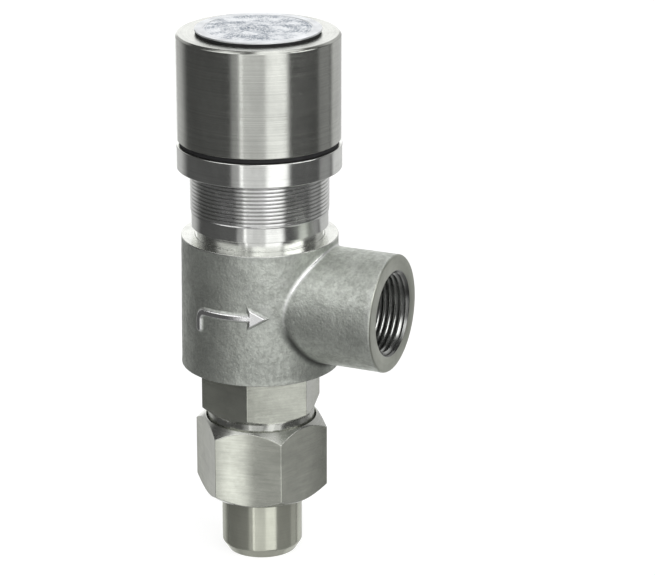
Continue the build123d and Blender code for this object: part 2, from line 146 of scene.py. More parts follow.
class BodySizes(bpy.types.PropertyGroup):
    """Sizes of the cast body and its outlet."""

    top_radius: length("Top radius", 30.5 * MM, "Barrel's radius at its top")
    bottom_radius: length("Bottom radius", reach("valve_body"), "Barrel's radius at its foot")
    rim: length("Rim", 0.4 * MM, "Rounding of the barrel's rims")
    boss_radius: length("Boss radius", 23 * MM, "Outlet boss's radius")
    boss_height: length("Outlet height", 106.0 * MM, "Height of the outlet's axis")
    blend: length("Blend", 1.0 * MM, "Fillet between barrel and boss, above and below")
    side_blend: length("Side blend", 4.2 * MM, "Fillet between barrel and boss, at the upper sides")
    cavity_radius: length("Cavity radius", 23 * MM, "Radius of the disc's chamber")
    cavity_floor: length("Cavity floor", 92.2 * MM, "Height of the chamber's floor")
    shoulder: length("Shoulder", 117.5 * MM, "Height of the ledge under the guide plate")
    socket_radius: length("Socket radius", 25.05 * MM, "Radius of the sleeve's socket")
    stub_radius: length("Stub radius", 18.05 * MM, "Radius of the nozzle's hole")
    passage_radius: length("Passage radius", 11.25 * MM, "Radius of the outlet's passage")
    mouth_depth: length("Mouth depth", 1.6 * MM, "Depth of the outlet's countersink")
    face_edge: length("Face edge", 0.9 * MM, "Rounding between the boss and the outlet's face")
    skin_wobble: length("Skin wobble", 0.06 * MM, "Unevenness of the cast skin")


class FlowMark(bpy.types.PropertyGroup):
    """Place and sizes of the cast flow arrow."""

    side: degrees("Side", -88, "Angle of the arrow's middle round the barrel")
    mark_height: length("Mark height", 104.6 * MM, "Height of the arrow's middle")
    width: length("Width", 31 * MM, "Arrow's length round the barrel")
    height: length("Height", 13 * MM, "Arrow's height")
    stroke: length("Stroke", 1.6 * MM, "Half the shaft's width")
    bend: length("Bend", 3.2 * MM, "Radius of the shaft's bend")
    head: length("Head", 4.4 * MM, "Half the head's width")
    head_length: length("Head length", 8.0 * MM, "Length of the head")
    relief: length("Relief", 0.95 * MM, "How far the arrow stands out")


class ThreadSizes(bpy.types.PropertyGroup):
    """Pitches and radii of the cut threads."""

    sleeve_pitch: length("Sleeve pitch", 1.5 * MM, "Pitch of the sleeve's thread")
    sleeve_crest: length("Sleeve crest", 27.0 * MM, "Crest radius of the sleeve's thread")
    union_pitch: length("Union pitch", 2.0 * MM, "Pitch of the union thread")
    union_crest: length("Union crest", 21.0 * MM, "Crest radius of the union thread")
    outlet_pitch: length("Outlet pitch", 2.309 * MM, "Pitch of the outlet's thread")
    outlet_crest: length("Outlet crest", 15.1465 * MM, "Crest radius of the outlet's thread")
    outlet_root: length("Outlet root", 16.1 * MM, "Root radius of the outlet's thread")
    outlet_mouth: length("Outlet mouth", 16.725 * MM, "Radius of the outlet's countersink at the face")
    running_gap: length("Running gap", 0.05 * MM, "Gap between an outside thread and its plain bore")
    metric_depth: FloatProperty(
        name="Metric depth", description="Depth of a metric thread over its pitch", default=0.38
    )
    outlet_turns: IntProperty(
        name="Outlet turns", description="Turns of the outlet's thread", default=8
    )

    def metric_root(self, crest, pitch):
        """Radius at the root of a metric thread."""
        return crest - self.metric_depth * pitch


class HexagonSizes(bpy.types.PropertyGroup):
    """Sizes of the two hexagons."""

    nut_flat: length("Nut flat", 23.0 * MM, "Axis to the union nut's flats")
    nut_turn: degrees("Nut turn", 12, "Angle of the nut's corner")
    neck_flat: length("Neck flat", 21.0 * MM, "Axis to the neck's flats")
    neck_turn: degrees("Neck turn", 42, "Angle of the neck's corner")
    nut_foot_slope: slope("Nut foot slope", 0.76, "the nut's lower corner bevel")
    nut_top_slope: slope("Nut top slope", 0.9, "the nut's upper corner bevel")
    neck_slope: slope("Neck slope", 0.58, "the neck's lower corner bevel")
    corner: length("Corner", 0.15 * MM, "Rounding of a hexagon's long edges")
    hollow: length("Hollow", 0.35 * MM, "How far a hexagon's flats are hollow")


class InletSizes(bpy.types.PropertyGroup):
    """Sizes of the nozzle, the union nut and the weld nipple."""

    bore: length("Bore", 12.5 * MM, "Radius of the pipe's bore")
    hexagon_foot: length("Hexagon foot", 59.2 * MM, "Height of the neck hexagon's underside")
    corner_cut: length("Corner cut", 0.9 * MM, "How far the turned ends reach inside a hexagon's flats")
    shank: length("Shank", 4.0 * MM, "Plain length under the neck hexagon")
    spigot_bevel: length("Spigot bevel", 1.2 * MM, "Bevel at the start of the union thread")
    taper: length("Taper", 9.0 * MM, "Length over which the bore narrows to the throat")
    throat: length("Throat", 10.0 * MM, "Radius of the throat")
    land: length("Land", 11.6 * MM, "Outside radius of the seat")
    seat_rise: length("Seat rise", 1.2 * MM, "How far the seat stands above the nose")
    nose: length("Nose", 14.5 * MM, "Radius of the nozzle's nose")
    stub: length("Stub", 18.0 * MM, "Radius of the nozzle in the body")
    lip: length("Lip", 16.3 * MM, "Radius of the nut's lower opening")
    lip_height: length("Lip height", 6.0 * MM, "Thickness of the nut's lip")
    mouth: length("Mouth", 0.85 * MM, "Width of the bevel in the nut's mouth")
    mouth_depth: length("Mouth depth", 1.5 * MM, "Depth of the bevel in the nut's mouth")
    pipe: length("Pipe", 16.0 * MM, "Outside radius of the nipple's pipe")
    weld_bevel: length("Weld bevel", 3.5 * MM, "Height of the bevel at the nipple's end")
    weld_land: length("Weld land", 1.4 * MM, "Width of the nipple's flat end")
    neck: length("Neck", 24.5 * MM, "Height at which the nipple is turned down")
    waist: length("Waist", 15.5 * MM, "Radius of the nipple inside the nut")
    collar: length("Collar", 5.0 * MM, "Height of the nipple's collar")


class BonnetSizes(bpy.types.PropertyGroup):
    """Sizes of the sleeve, the lock ring, the cap and the nameplate."""

    socket: length("Socket", 25.0 * MM, "Radius of the sleeve in the body")
    bore: length("Bore", 21.0 * MM, "Radius of the sleeve's bore")
    groove: length("Groove", 24.6 * MM, "Radius of the groove above the body")
    groove_height: length("Groove height", 4.0 * MM, "Height of the groove above the body")
    band_height: length("Band height", 5.6 * MM, "Height of the plain band above the groove")
    band_step: length("Band step", 0.3 * MM, "How far the plain band lies below the thread's crests")
    sleeve_bevel: length("Sleeve bevel", 1.0 * MM, "Bevel at the sleeve's upper end")
    ring_bore: length("Ring bore", 27.05 * MM, "Radius of the bores of lock ring and cap")
    seal_bore: length("Seal bore", 27.3 * MM, "Radius of the rubber seal's hole")
    ceiling: length("Ceiling", 7.2 * MM, "Thickness of the cap's top")
    cap_edge: length("Cap edge", 0.9 * MM, "Bevel round the cap's top")
    border: length("Border", 3.4 * MM, "Width of the nameplate's border")
    recess: length("Recess", 0.12 * MM, "Depth of the nameplate's etched field")


class SpringSizes(bpy.types.PropertyGroup):
    """Sizes of the main spring. Its length and outside follow its solid."""

    wire: length("Wire", 4.5 * MM, "Diameter of the spring's wire")
    bed: length("Ground depth", 1.5 * MM, "Depth ground off each end coil")
    end_gap: length("End gap", 0.1 * MM, "Gap between the closed coils at the ends")
    coils: FloatProperty(name="Coils", description="Turns from end to end", default=8.5)


class Finishes(bpy.types.PropertyGroup):
    """Colours of the finishes."""

    cast: tint("Cast steel", (0.58, 0.605, 0.56), "Blasted casting")
    turned: tint("Turned steel", (0.62, 0.63, 0.59), "Turned stainless steel")
    bright: tint("Bright steel", (0.85, 0.86, 0.83), "Finely turned ring and ledges")
    ledge: tint("Ledge steel", (0.78, 0.79, 0.75), "Ledge round the body's socket")
    nipple: tint("Nipple steel", (0.69, 0.705, 0.60), "Weld nipple's pipe")
    milled: tint("Milled steel", (0.605, 0.62, 0.55), "Milled flats of the nut")
    neck: tint("Neck steel", (0.50, 0.515, 0.455), "Milled flats of the nozzle's neck")
    face: tint("Face steel", (0.57, 0.59, 0.52), "Machined face of the outlet")
    # The outlet thread's own colour; its finish darkens the roots as painted shade.
    thread: tint("Thread steel", (0.62, 0.63, 0.61), "Clean steel in the outlet's thread")
    cut_thread: tint("Cut thread", (0.92, 0.93, 0.90), "Sleeve's thread")
    plate: tint("Plate", (0.86, 0.88, 0.90), "Etched nameplate")
    ink: tint("Plate ink", (0.22, 0.27, 0.34), "Etched marks on the nameplate")
    rubber: tint("Rubber", (0.012, 0.012, 0.013), "Black rubber")
    seal: tint("Seal", (0.83, 0.82, 0.78), "White seal plastic")
    bronze: tint("Bronze", (0.50, 0.29, 0.12), "Bearing bronze")
    floor: tint("Floor", (0.86, 0.86, 0.86), "Studio floor")


# ---- Surfaces ---------------------------------------------------------------------------------


def around_valve(radius, angle, height):
    """Points round the valve's axis: x = r cos a, y = r sin a, z = h."""
    return np.stack(
        np.broadcast_arrays(radius * np.cos(angle), radius * np.sin(angle), height), axis=-1
    )


def around_outlet(radius, angle, along, axis_height):
    """Points round the outlet's axis: x = s, y = r sin a, z = axis height + r cos a."""
    return np.stack(
        np.broadcast_arrays(along, radius * np.sin(angle), axis_height + radius * np.cos(angle)),
        axis=-1,
    )


def grid_patch(points, closed=True):
    """A grid of points with a four-sided face in each cell; closed joins the last column to the first."""
    rows, cols = points.shape[:2]
    row, col = np.meshgrid(
        np.arange(rows - 1), np.arange(cols if closed else cols - 1), indexing="ij"
    )
    right = (col + 1) % cols
    corners = [row * cols + col, row * cols + right, (row + 1) * cols + right, (row + 1) * cols + col]
    return points.reshape(-1, 3), np.stack(corners, axis=-1).reshape(-1, 4)


def eased(corners, setbacks):
    """A profile's rows from its corners, each an array of (radius, height) for every column.

    A corner P with a setback d becomes the curve (1-t)^2 A + 2t(1-t) P + t^2 B between the two
    points A and B that lie d before and after it. A row just outside A and one just outside B keep
    the walls beyond them flat. The first and the last corner stay as they are.
    """
    corners = np.asarray(corners, float)
    rows = [corners[0]]
    for before, corner, after, setback in zip(corners, corners[1:], corners[2:], setbacks):
        if setback == 0:
            rows.append(corner)
            continue
        back, ahead = before - corner, after - corner
        back /= np.linalg.norm(back, axis=-1, keepdims=True)
        ahead /= np.linalg.norm(ahead, axis=-1, keepdims=True)
        start, end = corner + setback * back, corner + setback * ahead
        hold = min(0.25 * setback, HOLD)
        rows.append(start + hold * back)
        for t in np.linspace(0, 1, EASE_POINTS):
            rows.append((1 - t) ** 2 * start + 2 * t * (1 - t) * corner + t**2 * end)
        rows.append(end + hold * ahead)
    rows.append(corners[-1])
    return np.stack(rows)


def smooth(value):
    """Rises from 0 to 1 and is level at both ends: 3 v^2 - 2 v^3."""
    value = np.clip(value, 0, 1)
    return value * value * (3 - 2 * value)


def turned_patch(corners, edges, angles):
    """A profile carried round the valve's axis.

    Corners are (radius, height) pairs, and edges the setbacks of the inner corners in millimetres.
    """
    columns = [
        np.stack(np.broadcast_arrays(radius, height, np.zeros(len(angles)))[:2], axis=-1)
        for radius, height in corners
    ]
    rows = eased(columns, [edge * MM for edge in edges])
    return grid_patch(around_valve(rows[..., 0], angles, rows[..., 1]))


def screw_patch(
    place, angles, start, end, pitch, plain, crest, root, crest_share=0.3, root_share=0.3,
    countersink=None,
):
    """A helical thread between two plain rings.

    In one pitch the radius stays at the crest over the crest's share, runs straight to the root,
    stays there over the root's share and runs straight back. The row at a share s of turn n and
    column j lies at the height start + pitch (n + s + j / columns - 1), so the rows climb one pitch
    in one turn. The whole thread fades into the plain radius over three quarters of a pitch at
    each end. Where a countersink is given, a cone with this radius at each height cuts the crests
    of the upper end instead.
    """
    columns = len(angles)
    flank = 0.5 * (1 - crest_share - root_share)
    corners = np.cumsum([0, crest_share, flank, root_share, flank])
    shares = np.sort(np.concatenate([corners[:-1], 0.5 * (corners[:-1] + corners[1:])]))
    turns = int(np.ceil((end - start) / pitch)) + 1
    level = (np.arange(turns)[:, None] + shares).reshape(-1, 1)
    level = np.concatenate([level, [[turns]]])
    height = np.clip(start + pitch * (level + np.arange(columns) / columns - 1), start, end)
    depth = crest + (root - crest) * np.interp(level % 1, corners, [0, 0, 1, 1, 0])
    from_end = np.full_like(height, pitch) if countersink else end - height
    fade = smooth(np.minimum(height - start, from_end) / (RUN_OUT * pitch))
    radius = plain + (depth - plain) * fade
    if countersink:
        radius = np.maximum(radius, countersink(height))
    points = place(radius, angles[None, :], height)
    _, faces = grid_patch(points)
    seam = faces[:, 1] % columns == 0  # the last column joins the first of the next turn
    faces[seam, 1:3] += len(shares) * columns
    return points.reshape(-1, 3), faces[faces.max(axis=1) < len(level) * columns]


def hexagon_outline(flat, turn, corner, hollow, per_flat=20, per_corner=5):
    """Radius and angle round a hexagon whose long edges are rounded with the radius corner.

    The flats are a trace hollow, as a face mill leaves them: at a share s of a flat's width the
    surface lies 4 s (1 - s) times the hollow below the plane. A column close to each corner keeps
    the flat's shading off the rounding.
    """
    half = np.pi / 6
    bend = np.linspace(-half, half, per_corner)
    arc_middle = (flat - corner) / np.cos(half)
    arc = np.stack([arc_middle + corner * np.cos(bend), corner * np.sin(bend)], axis=-1)
    ahead = turned_pairs(arc[:1], 2 * half)
    share = np.concatenate([[0.01], np.linspace(0.06, 0.94, per_flat), [0.99]])
    straight = arc[-1] + (ahead[0] - arc[-1]) * share[:, None]
    sunk = 4 * share * (1 - share) * hollow
    straight -= sunk[:, None] * np.array([np.cos(half), np.sin(half)])
    side = np.concatenate([arc, straight])
    loop = np.concatenate([turned_pairs(side, turn + 2 * half * k) for k in range(6)])
    return np.hypot(loop[:, 0], loop[:, 1]), np.unwrap(np.arctan2(loop[:, 1], loop[:, 0]))


def turned_pairs(pairs, angle):
    """Plane points turned about the origin."""
    cos, sin = np.cos(angle), np.sin(angle)
    return np.stack(
        [pairs[:, 0] * cos - pairs[:, 1] * sin, pairs[:, 0] * sin + pairs[:, 1] * cos], axis=-1
    )


def piece_from(name, patches, finish, body, node=None, sharp=SHARP):
    """One closed piece from its patches: seams are merged, faces turned outwards, edges kept crisp.

    It rides on a body, takes its finish by key, and stands for a node where one is given.
    """
    counts = np.cumsum([0] + [len(points) for points, _ in patches])
    points = np.concatenate([points for points, _ in patches])
    faces = np.concatenate([faces + start for (_, faces), start in zip(patches, counts)])
    mesh = bpy.data.meshes.new(name)
    mesh.from_pydata(points, [], faces)
    work = bmesh.new()
    work.from_mesh(mesh)
    bmesh.ops.remove_doubles(work, verts=work.verts, dist=WELD)
    bmesh.ops.dissolve_degenerate(work, edges=work.edges, dist=WELD)
    bmesh.ops.recalc_face_normals(work, faces=work.faces)
    work.to_mesh(mesh)
    work.free()
    mesh.shade_smooth()
    mesh.set_sharp_from_angle(angle=sharp)
    mesh.materials.append(shared_material(finish))
    piece = bpy.data.objects.new(name, mesh)
    bpy.context.scene.collection.objects.link(piece)
    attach(piece, body)
    if node:
        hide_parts(node)
    return piece


def turned_piece(name, node, body, finish, corners, edges):
    """A piece with one turned profile, which stands for a node."""
    return piece_from(name, [turned_patch(corners, edges, ring_angles())], finish, body, node)


def measured(items, name):
    """Three values of every point or face of a mesh, such as its place: all x, all y, all z."""
    values = np.empty(len(items) * 3)
    items.foreach_get(name, values)
    return values.reshape(-1, 3).T


def more_finishes(piece, choice, *keys):
    """Gives each face its finish: 0 is the piece's first, and 1 and up are these keys."""
    for key in keys:
        piece.data.materials.append(shared_material(key))
    piece.data.polygons.foreach_set("material_index", choice.astype(np.int32))


def lathe_cut(piece, least=0.3):
    """Faces that slope or lie flat, as a lathe leaves them at the ends of a hexagon.

    Their normals point up or down by more than the least share.
    """
    return np.abs(measured(piece.data.polygons, "normal")[2]) > least


def keep_share(piece, name, share):
    """Keeps a share from 0 to 1 on each point of a casting for its finish: real wear, painted highlight or
    painted shade.
    """
    kept = piece.data.attributes.new(name, "FLOAT", "POINT")
    kept.data.foreach_set("value", np.clip(share, 0, 1).astype(np.float32))


def soft_noise(x, y, z, seed, waves=24, size=6 * MM):
    """Smooth unevenness from -1 to 1: a sum of sine waves with seeded directions and lengths."""
    draw = np.random.default_rng(seed)
    total = np.zeros(np.broadcast(x, y, z).shape)
    for _ in range(waves):
        direction = draw.normal(size=3)
        direction *= TURN / (size * draw.uniform(0.6, 2.2) * np.linalg.norm(direction))
        total += np.sin(direction[0] * x + direction[1] * y + direction[2] * z + draw.uniform(0, TURN))
    return total / np.sqrt(waves)


# ---- Materials --------------------------------------------------------------------------------


class Shading:
    """A shader tree, with short names for the nodes that are used most."""

    def __init__(self, tree):
        self.tree = tree

    def fill(self, socket, value):
        """Links an input where the value is a socket, and sets the input itself where it isn't."""
        if isinstance(value, bpy.types.NodeSocket):
            self.tree.links.new(value, socket)
        else:
            socket.default_value = value

    def put(self, kind, values=None, **settings):
        """Adds a node with its settings and the values of its inputs."""
        made = self.tree.nodes.new("ShaderNode" + kind)
        for key, setting in settings.items():
            setattr(made, key, setting)
        for key, value in (values or {}).items():
            self.fill(made.inputs[key], value)
        return made

    def math(self, operation, *values):
        """The result of one operation."""
        return self.put("Math", dict(enumerate(values)), operation=operation).outputs[0]

    def times(self, first, *others):
        """The product of all the values."""
        for other in others:
            first = self.math("MULTIPLY", first, other)
        return first

    def total(self, first, *others):
        """The sum of all the values."""
        for other in others:
            first = self.math("ADD", first, other)
        return first

    def without(self, share, part=1.0):
        """What is left of 1 when a part of a share is taken off."""
        return self.math("SUBTRACT", 1.0, self.times(share, part))

    def distance(self, first, second):
        """The long side over two sides that are square to each other."""
        return self.math("SQRT", self.total(self.times(first, first), self.times(second, second)))

    def spread(self, value, low_in, high_in, low_out=0.0, high_out=1.0, **settings):
        """Carries a value from one range to another."""
        values = dict(enumerate((value, low_in, high_in, low_out, high_out)))
        return self.put("MapRange", values, **settings).outputs[0]

    def blend(self, share, first, second):
        """Mixes two colours by a share from 0 to 1."""
        return self.put("Mix", {0: share, 6: first, 7: second}, data_type="RGBA").outputs[2]

    def tones(self, share, colour, darker, lighter):
        """A colour between two gains of its own, by a share from 0 to 1."""
        return self.blend(share, rgba(colour, darker), rgba(colour, lighter))

    def noise(self, place, scale, detail=2.0, rough=0.5, stretch=(1, 1, 1)):
        """Noise with so many features in a metre; a stretch under 1 draws them out along an axis."""
        mapped = self.put("Mapping", {"Vector": place, "Scale": stretch}).outputs[0]
        values = {"Vector": mapped, "Scale": scale, "Detail": detail, "Roughness": rough}
        return self.put("TexNoise", values).outputs["Fac"]

    def bump(self, height, strength, distance, normal=None):
        """A bump from a height, on top of an earlier normal if there is one."""
        values = {"Height": height, "Strength": strength, "Distance": distance}
        if normal:
            values["Normal"] = normal
        return self.put("Bump", values).outputs[0]


class Finish(Shading):
    """A new material, with its object coordinates."""

    def __init__(self, name, metallic=1.0, **sockets):
        self.material = bpy.data.materials.new(name)
        self.material.use_nodes = True
        super().__init__(self.material.node_tree)
        self.place = self.put("TexCoord").outputs["Object"]
        self.shade(Metallic=metallic, **sockets)

    def shade(self, **sockets):
        """Fills the shader's inputs, where a name's underscore stands for a blank."""
        shader = self.tree.nodes["Principled BSDF"]
        for key, value in sockets.items():
            self.fill(shader.inputs[key.replace("_", " ")], value)
        return self.material

    def lathe(self, outlet_height=None):
        """Distance from a lathe's axis, place in its rings (that distance and the place along the
        axis) and the way the tool ran round. The axis is the valve's own, or the outlet's where its
        height is given.
        """
        x, y, z = self.put("SeparateXYZ", {0: self.place}).outputs
        if outlet_height is None:
            across, along = self.distance(x, y), z
            way = {0: self.times(y, -1.0), 1: x}
        else:
            z = self.math("SUBTRACT", z, outlet_height)
            across, along = self.distance(y, z), x
            way = {1: self.times(z, -1.0), 2: y}
        rings = self.put("CombineXYZ", {0: across, 1: across, 2: along}).outputs[0]
        way = self.put(
            "VectorTransform", {0: self.put("CombineXYZ", way).outputs[0]}, vector_type="VECTOR",
            convert_from="OBJECT", convert_to="WORLD",
        )
        return across, rings, way.outputs[0]


def rgba(colour, gain=1.0):
    """A colour as four numbers, lightened or darkened by a gain."""
    return tuple(min(1.0, channel * gain) for channel in colour) + (1.0,)


def turned_steel(
    name, colour, rough, marks, stain, sheen=0.75, bare=1.0, outlet_height=None, shaded_roots=None, root_shade=0.7
):
    """Turned steel: fine tool marks in rings, faint smears, and highlights drawn across the marks.

    Marks and stain are the strengths of the tool marks and the smears. Bare is 1 for clean metal
    and less under a dull film. Shaded roots are the radii between which a thread goes from painted
    shade to its own colour, and root shade is how dark that painted shade gets in the roots.
    """
    finish = Finish(name, bare, Anisotropic=sheen, Anisotropic_Rotation=0.25)
    across, rings, way = finish.lathe(outlet_height)
    fine = finish.noise(rings, 5200, detail=3.0, rough=0.6, stretch=(1, 0.35, 1))
    coarse = finish.noise(rings, 900)
    smears = finish.noise(finish.place, 70, detail=4.0, rough=0.6, stretch=(1, 1, 0.45))
    specks = finish.noise(finish.place, 600, detail=3.0, rough=0.6)
    tone = finish.total(finish.times(fine, 0.5 * marks), finish.times(smears, stain))
    middle = 0.25 * (marks + 2 * stain)
    ground = finish.tones(finish.spread(tone, 0.75 * middle, 1.3 * middle), colour, 0.82, 1.12)
    if shaded_roots:
        # Painted shade: the thread's roots are darkened towards black between the shaded roots' radii.
        root_shade_share = finish.spread(across, *shaded_roots, root_shade, 0)
        ground = finish.blend(root_shade_share, ground, rgba(colour, 0.1))
    wear = finish.total(finish.times(coarse, 0.5), finish.times(specks, 0.5))
    normal = finish.bump(fine, 0.12 * marks, 0.02 * MM)
    return finish.shade(
        Tangent=way, Base_Color=ground,
        Roughness=finish.spread(wear, 0.3, 0.7, rough * 0.8, rough * 1.3),
        Normal=finish.bump(smears, 0.1 * stain, 0.08 * MM, normal),
    )


def milled_steel(name, colour, rough):
    """Milled flats: straight cutter marks across the flats over a satin ground."""
    finish = Finish(name, 0.75, Anisotropic=0.85, Anisotropic_Rotation=0.25)
    lines = finish.noise(finish.place, 1300, rough=0.6, stretch=(0.06, 0.06, 1))
    patches = finish.noise(finish.place, 120, detail=3.0, rough=0.6)
    specks = finish.noise(finish.place, 700)
    tone = finish.total(finish.times(lines, 0.4), finish.times(patches, 0.6))
    normal = finish.bump(lines, 0.05, 0.03 * MM)
    return finish.shade(
        Tangent=finish.lathe()[2],
        Base_Color=finish.tones(finish.spread(tone, 0.35, 0.65), colour, 0.85, 1.12),
        Roughness=finish.spread(specks, 0.3, 0.7, rough * 0.85, rough * 1.25),
        Normal=finish.bump(patches, 0.04, 0.1 * MM, normal),
    )


def cast_steel(name, colour, rough=0.52):
    """Blasted casting: a fine pitted grain over close, uneven greys.

    It is smoother and painted lighter where the piece's points keep wear and highlight (real wear on the
    raised arrow, a painted highlight on the fillet's upper sides), and painted darker where they keep
    crease shade.
    """
    finish = Finish(name)
    wear_and_highlight, crease_shade = [
        finish.put("Attribute", attribute_name=kept).outputs["Fac"] for kept in ("wear_and_highlight", "crease_shade")
    ]
    broad = finish.noise(finish.place, 90, detail=3.0)
    mottle = finish.noise(finish.place, 480, detail=3.0, rough=0.6)
    grain = finish.noise(finish.place, 1150, detail=3.0, rough=0.62)
    pits = finish.noise(finish.place, 2600)
    tone = finish.total(finish.times(broad, 0.3), finish.times(mottle, 0.4), finish.times(grain, 0.3))
    ground = finish.tones(finish.spread(tone, 0.4, 0.6), colour, 0.8, 1.18)
    # Painted highlight on the fillet, and real wear on the arrow: the colour is lightened past its own
    # where the points keep wear and highlight.
    worn_and_highlit = finish.blend(finish.times(wear_and_highlight, 0.9), ground, rgba(colour, 2.8))
    matt = finish.spread(mottle, 0.35, 0.65, rough * 1.1, rough * 0.9)
    relief = finish.without(wear_and_highlight, 0.7)
    normal = None
    for height, strength, depth in ((mottle, 0.4, 0.5), (grain, 0.5, 0.3), (pits, 0.25, 0.1)):
        normal = finish.bump(height, finish.times(relief, strength), depth * MM, normal)
    return finish.shade(
        # Painted shade: the colour is darkened towards black where the points keep crease shade.
        Base_Color=finish.blend(finish.times(crease_shade, 0.9), worn_and_highlit, rgba(colour, 0.15)),
        Roughness=finish.times(matt, finish.without(wear_and_highlight, 0.62)), Normal=normal,
    )


def black_rubber(name, colour):
    """Moulded rubber: nearly black, with a dusty bloom."""
    finish = Finish(name, 0.0)
    bloom = finish.noise(finish.place, 260, detail=4.0, rough=0.6)
    return finish.shade(
        Base_Color=finish.tones(finish.spread(bloom, 0.4, 0.7), colour, 1.0, 1.9),
        Roughness=finish.spread(bloom, 0.3, 0.7, 0.62, 0.78),
        Normal=finish.bump(finish.noise(finish.place, 2400), 0.2, 0.03 * MM),
    )


def seal_plastic(name, colour):
    """Pressed seal plastic: waxy white with faint lathe rings."""
    finish = Finish(name, 0.0)
    rings = finish.noise(finish.place, 2200, stretch=(0.2, 0.2, 1))
    return finish.shade(
        Base_Color=finish.tones(finish.noise(finish.place, 200, detail=3.0), colour, 0.92, 1.05),
        Roughness=finish.spread(rings, 0.3, 0.7, 0.42, 0.56),
        Normal=finish.bump(rings, 0.15, 0.02 * MM),
    )


def etched_plate(name, plate, ink, radius, row_width=1.5 * MM):
    """Nameplate: a bright border round rows of small etched dashes and scales that say nothing."""
    finish = Finish(name, 0.85)
    x, y, _ = finish.put("SeparateXYZ", {0: finish.place}).outputs
    across = finish.distance(x, y)
    inside = finish.spread(across, radius * 0.845, radius * 0.83)
    row = finish.math("DIVIDE", across, row_width)
    number = finish.math("FLOOR", row)
    arc = finish.times(finish.math("ARCTAN2", y, x), finish.times(number, 1.5))
    marks = finish.put("CombineXYZ", {0: arc, 1: finish.times(number, 7.3)}).outputs[0]
    strokes = finish.put("TexNoise", {"Vector": marks, "Scale": 1.6, "Detail": 2.0}).outputs["Fac"]
    between = finish.spread(finish.math("PINGPONG", row, 0.5), 0.12, 0.2)
    dashes = finish.times(finish.spread(strokes, 0.47, 0.52), between)
    cells = finish.put(
        "TexVoronoi", {"Vector": finish.place, "Scale": 700.0}, feature="DISTANCE_TO_EDGE"
    )
    scales = finish.spread(cells.outputs["Distance"], 0.04, 0.16, 1, 0)
    wash = finish.noise(finish.place, 170, detail=3.0, rough=0.6)
    cloudy = finish.spread(wash, 0.4, 0.6, 0.25, 1)
    etched = finish.math("MAXIMUM", dashes, finish.times(scales, 0.8))
    etched = finish.times(etched, cloudy, inside)
    return finish.shade(
        Base_Color=finish.blend(etched, rgba(plate), rgba(ink)),
        Roughness=finish.spread(wash, 0.35, 0.65, 0.3, 0.5),
        Normal=finish.bump(finish.without(etched), 0.5, 0.05 * MM),
    )


def shared_material(key):
    """A finish by its key, made once. The numbers are the roughness, the tool marks and the stain."""
    found = bpy.data.materials.get(key)
    if found:
        return found
    finishes = bpy.context.scene.valve_finishes
    outlet = bpy.context.scene.valve_body_sizes.boss_height
    threads = bpy.context.scene.valve_threads
    sleeve = threads.sleeve_crest
    # Radii over which the painted shade in each thread's roots fades out.
    sleeve_shaded_roots = threads.metric_root(sleeve, threads.sleeve_pitch), sleeve
    outlet_shaded_roots = threads.outlet_root, threads.outlet_crest
    turned = {
        "machined_face": (finishes.face, 0.38, 0.6, 0.6, {"sheen": 0.15, "outlet_height": outlet}),
        "outlet_thread": (
            finishes.thread, 0.22, 0.3, 0.3, {"sheen": 0.4, "outlet_height": outlet, "shaded_roots": outlet_shaded_roots}
        ),
        "lathe_steel": (finishes.turned, 0.24, 0.5, 0.5, {}),
        "bright_steel": (finishes.bright, 0.17, 0.5, 0.5, {}),
        "satin_steel": (finishes.nipple, 0.16, 0.5, 0.5, {"sheen": 0.6, "bare": 0.72}),
        "fine_lathe_steel": (finishes.turned, 0.2, 0.6, 0.4, {}),
        "threaded_steel": (finishes.cut_thread, 0.22, 0.4, 0.4, {"shaded_roots": sleeve_shaded_roots, "root_shade": 0.4}),
        "ledge_steel": (finishes.ledge, 0.24, 0.7, 0.7, {"sheen": 0.3}),
        "bearing_bronze": (finishes.bronze, 0.35, 1.0, 0.7, {}),
    }
    if key in turned:
        colour, rough, marks, stain, others = turned[key]
        return turned_steel(key, colour, rough, marks, stain, **others)
    return {
        "blasted_casting": lambda: cast_steel(key, finishes.cast),
        "milled_steel": lambda: milled_steel(key, finishes.milled, 0.13),
        "neck_steel": lambda: milled_steel(key, finishes.neck, 0.2),
        "moulded_rubber": lambda: black_rubber(key, finishes.rubber),
        "waxy_plastic": lambda: seal_plastic(key, finishes.seal),
        "etched_plate": lambda: etched_plate(key, finishes.plate, finishes.ink, reach("nameplate")),
    }[key]()


# ---- Pieces -----------------------------------------------------------------------------------


def ring_angles():
    """Evenly spaced angles round an axis."""
    return np.arange(COLUMNS) * TURN / COLUMNS


def barrel_radius(sizes, height):
    """The drafted barrel's radius at a height."""
    foot = low("valve_body")
    share = (height - foot) / (high("valve_body") - foot)
    return sizes.bottom_radius + (sizes.top_radius - sizes.bottom_radius) * share


def rectangle_rim(per_side, low_height, high_height):
    """Angle and height round the front half of a barrel: over the top, down, back and up again."""
    share = np.arange(per_side) / per_side
    quarter, whole = np.pi / 2, np.ones(per_side)
    rise = high_height - low_height
    angle = [quarter * (2 * share - 1), quarter * whole, quarter * (1 - 2 * share), -quarter * whole]
    height = [
        high_height * whole, high_height - rise * share, low_height * whole, low_height + rise * share
    ]
    return np.concatenate(angle), np.concatenate(height)


def wall_to_hole(rim, hole, radius_at, rows):
    """The wall between a rectangle's rim and a round hole: rows run straight on the unrolled wall.

    Rim and hole are each an angle and a height for every column.
    """
    share = np.linspace(0, 1, rows + 1)[:, None]
    angle, height = [start + (end - start) * share for start, end in zip(rim, hole)]
    return around_valve(radius_at(height), angle, height)


